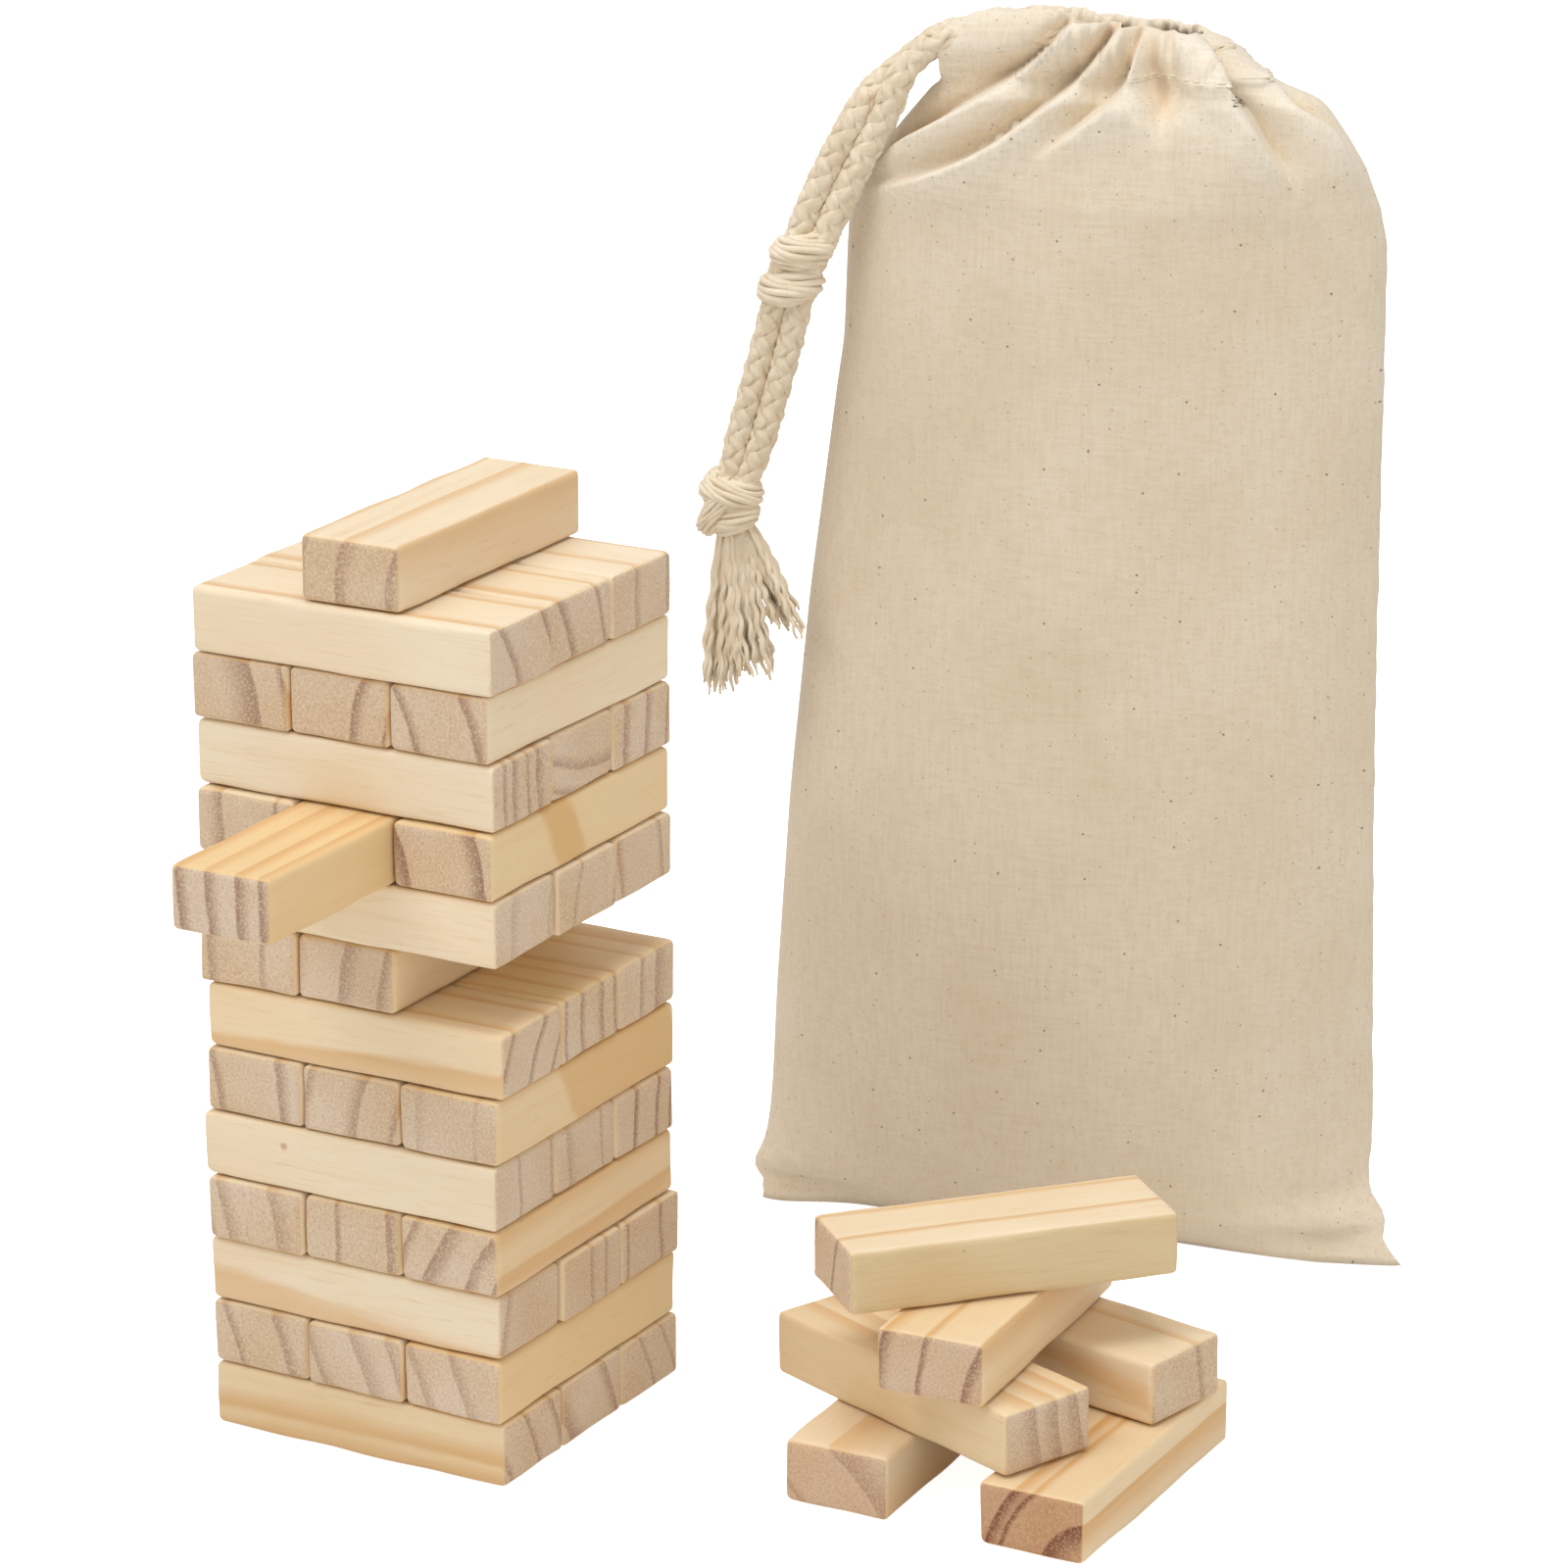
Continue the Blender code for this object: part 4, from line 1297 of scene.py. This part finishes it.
def plait(builder, path, full_radius, step=0.00055, start_phase=0.0, slim_until=0.0):
    """A round plait of eight yarns, four turning each way over and under each other."""
    path, run = even_path(path, step)
    across, other = path_frames(path)
    slim = 1 - smooth_step(slim_until - 0.003, slim_until + 0.002, run) if slim_until else run * 0
    radius = full_radius * (1 - SLIM_SHARE * slim)
    turn = run / PLAIT_PITCH * 2 * math.pi + start_phase
    ripple = np.cos(4 * (turn - math.pi / 8))
    angles = round_angles(YARN_SIDES)
    twist = angles[None, :] * PLIES + (run / PLY_PITCH * 2 * math.pi)[:, None]
    swell = radius[:, None] * (1 + 0.11 * np.cos(twist))
    section = (np.cos(angles) * 0.31 * swell, np.sin(angles) * 0.52 * swell)
    # The groove adds painted shade between the plies
    groove = (1 - np.cos(twist)) * 0.18
    for direction in (1, -1):
        for number in range(4):
            angle = direction * turn + number * math.pi / 2 + (direction < 0) * math.pi / 4
            height = radius * (0.66 + 0.11 * direction * ripple)
            out = across * np.cos(angle)[:, None] + other * np.sin(angle)[:, None]
            builder.yarn(path, out, height, section, radius[:, None], groove, 0.42)
    builder.tube(path, full_radius * 0.5, YARN_SIDES, hollow=CORE_SHADE)


def yarn_bundle(builder, path, radius):
    """A loosened length of cord: yarns side by side with a slow twist."""
    path, run = even_path(path, 0.0005)
    across, other = path_frames(path)
    angles = round_angles(BUNDLE_SIDES)[None]
    thick = radius * 0.23
    section = (np.cos(angles) * thick, np.sin(angles) * thick * 0.92)
    for number in range(BUNDLE_YARNS):
        angle = (number / BUNDLE_YARNS + run / BUNDLE_PITCH) * 2 * math.pi
        angle = angle + 0.10 * np.sin(run * 700 + number * 4.7)
        wave = 1 + 0.07 * np.sin(run * 900 + number * 2.1)
        out = across * np.cos(angle)[:, None] + other * np.sin(angle)[:, None]
        builder.yarn(path, out, radius * 0.76 * wave, section, radius, 0.0, 0.40)
    builder.tube(path, radius * 0.70, YARN_SIDES, hollow=CORE_SHADE)


def bag_place(point):
    """A place of the whole frame in the bag's frame."""
    return np.array(BAG.inverted() @ Vector(point))


def middle_of(node_name):
    """The middle of a solid's box, in the bag's frame."""
    points = cad_points(node_name)
    return (points.min(0) + points.max(0)) / 2


EXIT = bag_place(JOINTS["cord_swing"]["pos_m"])
ENTRY = cad_points("cord_entry_back")
CHANNEL_ARM = HEM_ARM - HEM_LEAN / 2
CHANNEL_HEIGHT = ENTRY[:, 2].mean()
CHANNEL_RADIUS = 0.0011
CHANNEL_SPREAD = 12
CHANNEL_EASE = 9
CHANNEL_INSET = 0.0003
CHANNEL_TUCK = 0.0026
UPPER_RADIUS = 0.0027
LOWER_RADIUS = 0.0025
UPPER_SPREAD = 0.0024
LOWER_SPREAD = 0.0023
UPPER_KNOT = middle_of("cord_upper_knot") + (0.0010, 0.0, 0.0018)
LOWER_KNOT = middle_of("cord_lower_knot") + (0.0002, 0.0, 0.0006)
# The hanging cord's middle line from the hem to the upper knot, and between the knots, in mm
UPPER_LINE = ((28.0, -6.0, 226.6), (22.2, -7.4, 218.4), (16.4, -8.6, 207.0), (11.8, -9.6, 197.2))
LOWER_LINE = ((5.6, -11.2, 178.5), (2.7, -11.6, 167.0), (-0.4, -12.4, 155.5))
# The wraps of each knot: where it lies from the knot's middle in mm, its own radius and the
# cord's radius in mm, its tilt in degrees and where round the knot it starts
UPPER_WRAPS = (
    ((1.1, 0.0, 3.4), 3.0, 3.3, 7, 0.4),
    ((-1.1, 0.0, -3.2), 3.1, 3.4, 10, 1.9),
)
LOWER_WRAPS = (
    ((-0.2, 0.0, 3.0), 3.4, 3.0, -10, 2.6),
    ((0.4, -0.4, -2.2), 2.4, 2.9, 16, 0.2),
    ((-2.2, -1.6, 0.2), 2.0, 2.4, 60, 1.2),
)
WRAP_TURNS = 1.15
WRAP_SQUEEZE = 0.82
WRAP_RISE = 0.0011
# Clumps of frayed yarns: how many, then the middle of the clump half way down and at its end,
# relative to the lower knot, and how wide it spreads, in mm
CLUMPS = (
    (34, (-1.6, -19.0), (-2.2, -34.5), 3.8),
    (30, (2.4, -18.0), (4.6, -31.5), 4.0),
    (24, (6.4, -12.5), (10.6, -23.0), 3.2),
)


def beside(path, side, spread, opening=None):
    """Moves a path to one side of its line, after a start behind or before it in the channel."""
    lengths = path_lengths(path)
    heading = unit(np.gradient(path, axis=0))
    normal = np.column_stack((heading[:, 2], np.zeros(len(path)), -heading[:, 0]))
    away = np.full(len(path), spread)
    turn = np.full(len(path), math.pi / 2)
    if opening is not None:
        within = 1 - smooth_step(opening - 0.002, opening + 0.007, lengths)
        away += (CHANNEL_ARM - spread) * within
        away -= CHANNEL_TUCK * (1 - smooth_step(0.002, 0.009, lengths))
        turn *= smooth_step(opening + 0.006, opening + 0.024, lengths)
    away *= 1 - 0.35 * smooth_step(lengths[-1] - 0.012, lengths[-1], lengths)
    behind = np.array((0.0, 1.0, 0.0)) * np.cos(turn)[:, None]
    return path + (behind + normal * np.sin(turn)[:, None]) * (away * side)[:, None]


def upper_corners():
    """The upper strands' middle line: along the channel, then round and down to the knot."""
    level = CHANNEL_HEIGHT + 0.0018
    inside = np.array((ENTRY[:, 0].max(), 0.0, level))
    hole = np.array((EXIT[0] + 0.002, 0.0, level))
    return [inside, hole, *np.array(UPPER_LINE) * MM, UPPER_KNOT + (0.0002, 0.0, -0.001)]


def lower_corners():
    """The lower strands' middle line, from knot to knot."""
    start, end = UPPER_KNOT + (0.0, 0.0, 0.001), LOWER_KNOT + (0.0006, 0.0, 0.003)
    return [start, *np.array(LOWER_LINE) * MM, end]


def wrap_path(centre, radius, tilt, start):
    """A cord's path once round a knot, tilted, with its ends tucked in."""
    share = np.linspace(0.0, 1.0, 70)
    angle = start + share * WRAP_TURNS * 2 * math.pi
    tuck = 1 - 0.55 * (smooth_step(0.86, 1.0, share) + smooth_step(0.14, 0.0, share))
    u = np.cos(angle) * radius * tuck
    v = np.sin(angle) * radius * WRAP_SQUEEZE * tuck
    z = (share - 0.5) * WRAP_RISE + u * math.tan(math.radians(tilt))
    return centre + np.column_stack((u, v, z))


def finish_cord(builder, name, cord, body, *nodes):
    """Places a cord piece in the bag's frame with its finish."""
    piece = builder.make(name)
    piece.data.transform(BAG)
    fit_piece(piece, cord, "cotton_cord", body, *nodes)
    return piece


def bend_at(piece):
    """Bakes a cord piece's placement into its mesh."""
    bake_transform(piece)


def add_strands(cord):
    """The four visible lengths of cord."""
    upper, lower = smooth_path(upper_corners()), smooth_path(lower_corners())
    opening = upper[0, 0] - EXIT[0] - 0.002
    for label, side in (("front", -1), ("back", 1)):
        builder = Builder()
        path = beside(upper, side, UPPER_SPREAD, opening)
        plait(builder, path, UPPER_RADIUS, start_phase=side, slim_until=opening)
        nodes = (f"cord_entry_{label}", f"cord_upper_strand_{label}")
        piece = finish_cord(builder, f"cord_upper_{label}", cord, None, *nodes)
        bend_at(piece)
    for label, side in (("left", 1), ("right", -1)):
        builder = Builder()
        path = beside(lower, side, LOWER_SPREAD)
        plait(builder, path, LOWER_RADIUS, start_phase=2.0 * side)
        name = f"cord_lower_{label}"
        piece = finish_cord(builder, name, cord, None, f"cord_lower_strand_{label}")
        bend_at(piece)


def add_knots(cord):
    """The two knots of the hanging cord: cord wraps over a core."""
    knots = (
        ("upper", UPPER_KNOT, UPPER_WRAPS, "cord_hanging"),
        ("lower", LOWER_KNOT, LOWER_WRAPS, "cord_tail"),
    )
    for label, centre, wraps, body in knots:
        builder = Builder()
        for place, radius, thickness, tilt, start in wraps:
            path = wrap_path(centre + np.array(place) * MM, radius * MM, tilt, start)
            yarn_bundle(builder, path, thickness * MM)
        # The core carries painted shade, where it shows between the wraps
        core = np.linspace(centre + (0.0, 0.0, 0.0062), centre - (0.0, 0.0, 0.0062), 12)
        builder.tube(core, 0.0034, 14, taper=0.5, hollow=0.7)
        finish_cord(builder, f"cord_knot_{label}", cord, body, f"cord_{label}_knot")


def add_tassel(cord):
    """The frayed ends: kinked yarns in clumps that fan out under the lower knot."""
    chance = random.Random(21)
    builder = Builder()
    for count, (bend_u, bend_z), (end_u, end_z), spread in CLUMPS:
        heart = ((bend_u * 0.25, 0.0, -3.0), (bend_u, 0.4, bend_z), (end_u, 0.4, end_z + 6))
        fill = smooth_path(LOWER_KNOT + np.array(heart) * MM, step=0.001, rounds=20)
        # The filler under each clump carries a little painted shade
        builder.tube(fill, spread * 0.62 * MM, 12, taper=0.25, hollow=0.15)
        for _ in range(count):
            across, deep = chance.uniform(-1, 1), chance.uniform(-1, 1)
            root = (across * 1.9 + bend_u * 0.25, deep * 1.8, -3.0)
            middle = (bend_u + across * spread * 0.72, deep * 2.6, bend_z)
            reach = chance.uniform(-4.0, 1.5) if across > 0.2 else chance.uniform(-1.5, 2.0)
            tip = (end_u + across * spread, deep * 3.2, end_z - reach)
            path = yarn_path(np.array((root, middle, tip)), chance)
            radius = chance.uniform(0.00046, 0.00068)
            # Each yarn gets a random small amount of painted shade
            builder.tube(path, radius, 6, taper=0.4, hollow=chance.uniform(0.0, 0.22))
    finish_cord(builder, "cord_frayed_ends", cord, "cord_tail", "cord_tassel")


def yarn_path(places, chance):
    """One kinked yarn through three places under the lower knot."""
    root, middle, tip = places
    share = np.linspace(0.0, 1.0, 44)
    handle = 2 * middle - (root + tip) / 2
    weights = np.column_stack(((1 - share) ** 2, 2 * share * (1 - share), share**2))
    path = weights @ np.array((root, handle, tip))
    phase, waves = chance.uniform(0, 6.28), chance.uniform(4.0, 7.0)
    turn = share * waves * 2 * math.pi + phase
    strength = 0.24 * smooth_step(0.1, 0.4, share)
    path[:, 0] += np.sin(turn) * strength + chance.uniform(-1, 1) * smooth_step(0.7, 1.0, share)
    path[:, 1] += np.cos(turn) * strength
    return LOWER_KNOT + path * MM


def add_channel_cord(cord):
    """The cord inside the hem."""
    run = np.linspace(0.0, 2.0, 600)
    u, v, toward_u, toward_v = hem_place(run)
    level = CHANNEL_HEIGHT + hem_lift(run) * 0.5
    slope = hem_slope(run, 0.5)
    relief = gather_relief(u + toward_u * slope, v + toward_v * slope, level, run <= 1)
    nearby = [np.roll(relief, step) for step in range(-CHANNEL_SPREAD, CHANNEL_SPREAD + 1)]
    out = np.minimum.reduce(nearby) + slope - CHANNEL_INSET
    window = 2 * CHANNEL_EASE + 1
    out = np.convolve(np.pad(out, CHANNEL_EASE, "edge"), np.full(window, 1 / window), "valid")
    path = np.column_stack((u + toward_u * out, v + toward_v * out, level))
    builder = Builder()
    plait(builder, path[u > ENTRY[:, 0].max() + 0.0005], CHANNEL_RADIUS, step=0.0008)
    finish_cord(builder, "cord_in_channel", cord, "bag", "drawcord_loop")


# ---------------------------------------------------------------- cotton materials

THREAD_PITCH = 0.00046
COTTON, WARM_COTTON = srgb(227, 212, 189), srgb(221, 204, 178)
# Painted highlight for the fold crests; painted shade for the fold valleys and the deepest tucks
CREST_HIGHLIGHT, VALLEY_SHADE, TUCK_SHADE = srgb(242, 232, 214), srgb(232, 208, 168), srgb(188, 145, 98)
# The first is painted highlight on the bag's top; the others are the cloth's own slubs and weave
TOP_HIGHLIGHT, SLUB_TAN, WEAVE_TAN = srgb(238, 228, 211), srgb(206, 184, 148), srgb(190, 166, 130)
SEED_BROWN = srgb(112, 82, 58)
CORD_WARM, CORD_TAN = srgb(231, 214, 186), srgb(218, 199, 165)
# Kinds of seed speck: cells for each metre, radius in m, share of empty cells and strength
SPECKS = ((120.0, 0.00030, 0.74, 0.75), (200.0, 0.00026, 0.66, 0.42), (420.0, 0.00017, 0.55, 0.35))


def cloth_material():
    """Unbleached plain-weave cotton with seed specks, painted highlight on the fold crests and the drawn-in top,
    and painted shade in the fold valleys and tucks.
    """
    material, tree, shader = new_material("unbleached_cotton")
    place = object_place(tree)
    x, y, z = split(place)
    uneven = noise_value(place, 900.0) * 2.2
    threads = 2 * math.pi / THREAD_PITCH
    warp, weft = [calc("SINE", calc("MULTIPLY_ADD", part, threads, uneven)) for part in (x, z)]
    weave = warp * weft
    slub_up = noise_value(stretch(place, (1.0, 1.0, 0.10)), 1500.0)
    slub_across = noise_value(stretch(place, (0.12, 1.0, 1.0)), 1300.0)
    slub = slub_up + slub_across
    cloud = noise_value(place, 38.0, 3.0)
    fold = Wire(add_node(tree, "Attribute", attribute_name="fold"), "Fac")
    layers = (
        # Painted highlight on the crests and painted shade in the valleys and tucks, from the stored fold depth
        (remap(fold, 0.0, 0.75, 0.0, 0.75, True), CREST_HIGHLIGHT),
        (remap(fold, 0.0, -0.85, 0.0, 0.70, True), VALLEY_SHADE),
        (remap(fold, -0.60, -1.1, 0.0, 0.80, True), TUCK_SHADE),
        # Painted highlight on the drawn-in top, rising towards the hem
        (remap(z, 0.196, 0.226, 0.0, 0.45, True), TOP_HIGHLIGHT),
        (remap(slub, 0.85, 1.25, 0.0, 0.32), SLUB_TAN),
        (remap(weave, -1.0, 1.0, 0.04, 0.0), WEAVE_TAN),
        *speck_layers(x, y, z),
    )
    colour = layered(mix_colour(remap(cloud, 0.35, 0.65), COTTON, WARM_COTTON), layers)
    looks = {"Roughness": 0.92, "Specular_IOR_Level": 0.2, "Sheen_Weight": 0.25}
    finish_shader(shader, colour, weave * 0.12 + slub, 0.18, 0.35, Sheen_Roughness=0.6, **looks)
    return material


def speck_layers(x, y, z):
    """Bits of cotton seed, a few dark ones and more faint ones, each kind as a layer."""
    across = x + calc("GREATER_THAN", y, 0.0)
    flat = Wire(add_node(x.tree, "CombineXYZ", {0: across, 1: z}))
    ragged = noise_value(flat, 5200.0, 1.0) + 0.5
    layers = []
    for scale, radius, rarity, strength in SPECKS:
        inputs = {"Vector": flat, "Scale": scale}
        cells = add_node(x.tree, "TexVoronoi", inputs, voronoi_dimensions="2D")
        away = Wire(cells, "Distance") / scale * ragged
        dot = remap(away, radius * 0.5, radius, 1.0, 0.0, smooth=True)
        pick = Wire(add_node(x.tree, "SeparateColor", {0: Wire(cells, "Color")}))
        layers.append((dot * calc("GREATER_THAN", pick, rarity) * strength, SEED_BROWN))
    return layers


def cord_material(name, pale, deep):
    """Soft plaited cotton, with painted shade between the yarns."""
    material, tree, shader = new_material(name)
    place = object_place(tree)
    hollow = Wire(add_node(tree, "Attribute", attribute_name="hollow"), "Fac")
    fibre = noise_value(stretch(place, (1.0, 1.0, 0.35)), 2600.0, 3.0, 0.6)
    cloud = noise_value(place, 240.0)
    colour = mix_colour(remap(cloud, 0.3, 0.7), pale, CORD_WARM)
    # Painted shade: points deep between the yarns are darkened towards the second colour
    layers = ((remap(fibre, 0.5, 0.75, 0.0, 0.35), CORD_TAN), (hollow * 0.85, deep))
    looks = {"Roughness": 0.95, "Specular_IOR_Level": 0.15, "Sheen_Weight": 0.3}
    finish_shader(shader, layered(colour, layers), fibre, 0.25, 0.5, **looks)
    return material


# ---------------------------------------------------------------- stage

LIGHT_TARGET = Vector((0.05, 0.03, 0.1))
# Soft round lights: place, size and power
LIGHTS = {
    "key_light": ((-0.40, -0.80, 1.25), 0.7, 5.0),
    "top_light": ((0.10, -0.10, 1.5), 0.8, 7.5),
    "side_light": ((1.00, -0.60, 0.55), 0.6, 1.2),
}
FLOOR_HALF = 4
FLOOR_DROP = 0.0004
FLOOR_GREY = 0.86
WHITE = (1.0, 1.0, 1.0, 1.0)
CAMERA_AZIMUTH = math.radians(29.02)
CAMERA_ELEVATION = math.radians(17.43)
CAMERA_DISTANCE = 1.029
CAMERA_TARGET = Vector((0.05269, 0.02923, 0.11530))
CAMERA_LENS = 136.0


def add_to_scene(name, data, place, away):
    """A light or camera at a place, turned to look against a direction."""
    item = bpy.data.objects.new(name, data)
    item.location = place
    item.rotation_euler = (-away).to_track_quat("-Z", "Y").to_euler()
    bpy.context.scene.collection.objects.link(item)
    return item


def camera_glow(tree, seen, otherwise):
    """A brightness that differs for what the camera sees directly."""
    direct = Wire(add_node(tree, "LightPath"), "Is Camera Ray")
    return calc("MULTIPLY_ADD", direct, seen - otherwise, otherwise)


def add_stage():
    """A pale floor, a white surround and soft light from the left, above and the right."""
    far = FLOOR_HALF
    corners = [(-far, -far, 0), (far, -far, 0), (far, far, 0), (-far, far, 0)]
    floor = make_piece("floor", corners, [(0, 1, 2, 3)])
    floor.location.z = -FLOOR_DROP
    material, tree, shader = new_material("floor_white")
    inputs = {
        "Base Color": (FLOOR_GREY, FLOOR_GREY, FLOOR_GREY, 1.0),
        "Roughness": 0.9,
        "Emission Color": WHITE,
        "Emission Strength": camera_glow(tree, 0.86, 0.06),
    }
    set_inputs(shader, inputs)
    floor.data.materials.append(material)
    world = bpy.data.worlds.new("studio")
    world.use_nodes = True
    background = world.node_tree.nodes["Background"]
    set_inputs(background, {0: WHITE, 1: camera_glow(world.node_tree, 1.02, 0.60)})
    bpy.context.scene.world = world
    for name, (place, size, power) in LIGHTS.items():
        light = bpy.data.lights.new(name, "AREA")
        light.shape = "DISK"
        light.size = size
        light.energy = power
        add_to_scene(name, light, place, Vector(place) - LIGHT_TARGET)
    bpy.context.scene.view_settings.view_transform = "Standard"


def add_camera():
    """A long lens at a low three-quarter angle."""
    away = Vector((math.sin(CAMERA_AZIMUTH), -math.cos(CAMERA_AZIMUTH), 0.0))
    away = away * math.cos(CAMERA_ELEVATION)
    away.z = math.sin(CAMERA_ELEVATION)
    lens = bpy.data.cameras.new("camera")
    lens.lens = CAMERA_LENS
    lens.sensor_width = 36.0
    place = CAMERA_TARGET + away * CAMERA_DISTANCE
    bpy.context.scene.camera = add_to_scene("camera", lens, place, away)


def main():
    """Builds every piece around the frame."""
    cloth = cloth_material()
    # The second colour given to each cord finish is its painted shade between the yarns
    cord = cord_material("plaited_cotton", srgb(242, 229, 206), srgb(176, 148, 106))
    thread = cord_material("cotton_thread", srgb(236, 224, 200), srgb(190, 166, 126))
    add_pouch(cloth)
    add_hem(cloth)
    add_hem_stitches(thread)
    add_channel_cord(cord)
    add_strands(cord)
    add_knots(cord)
    add_tassel(cord)
    add_blocks()
    add_stage()
    add_camera()


main()
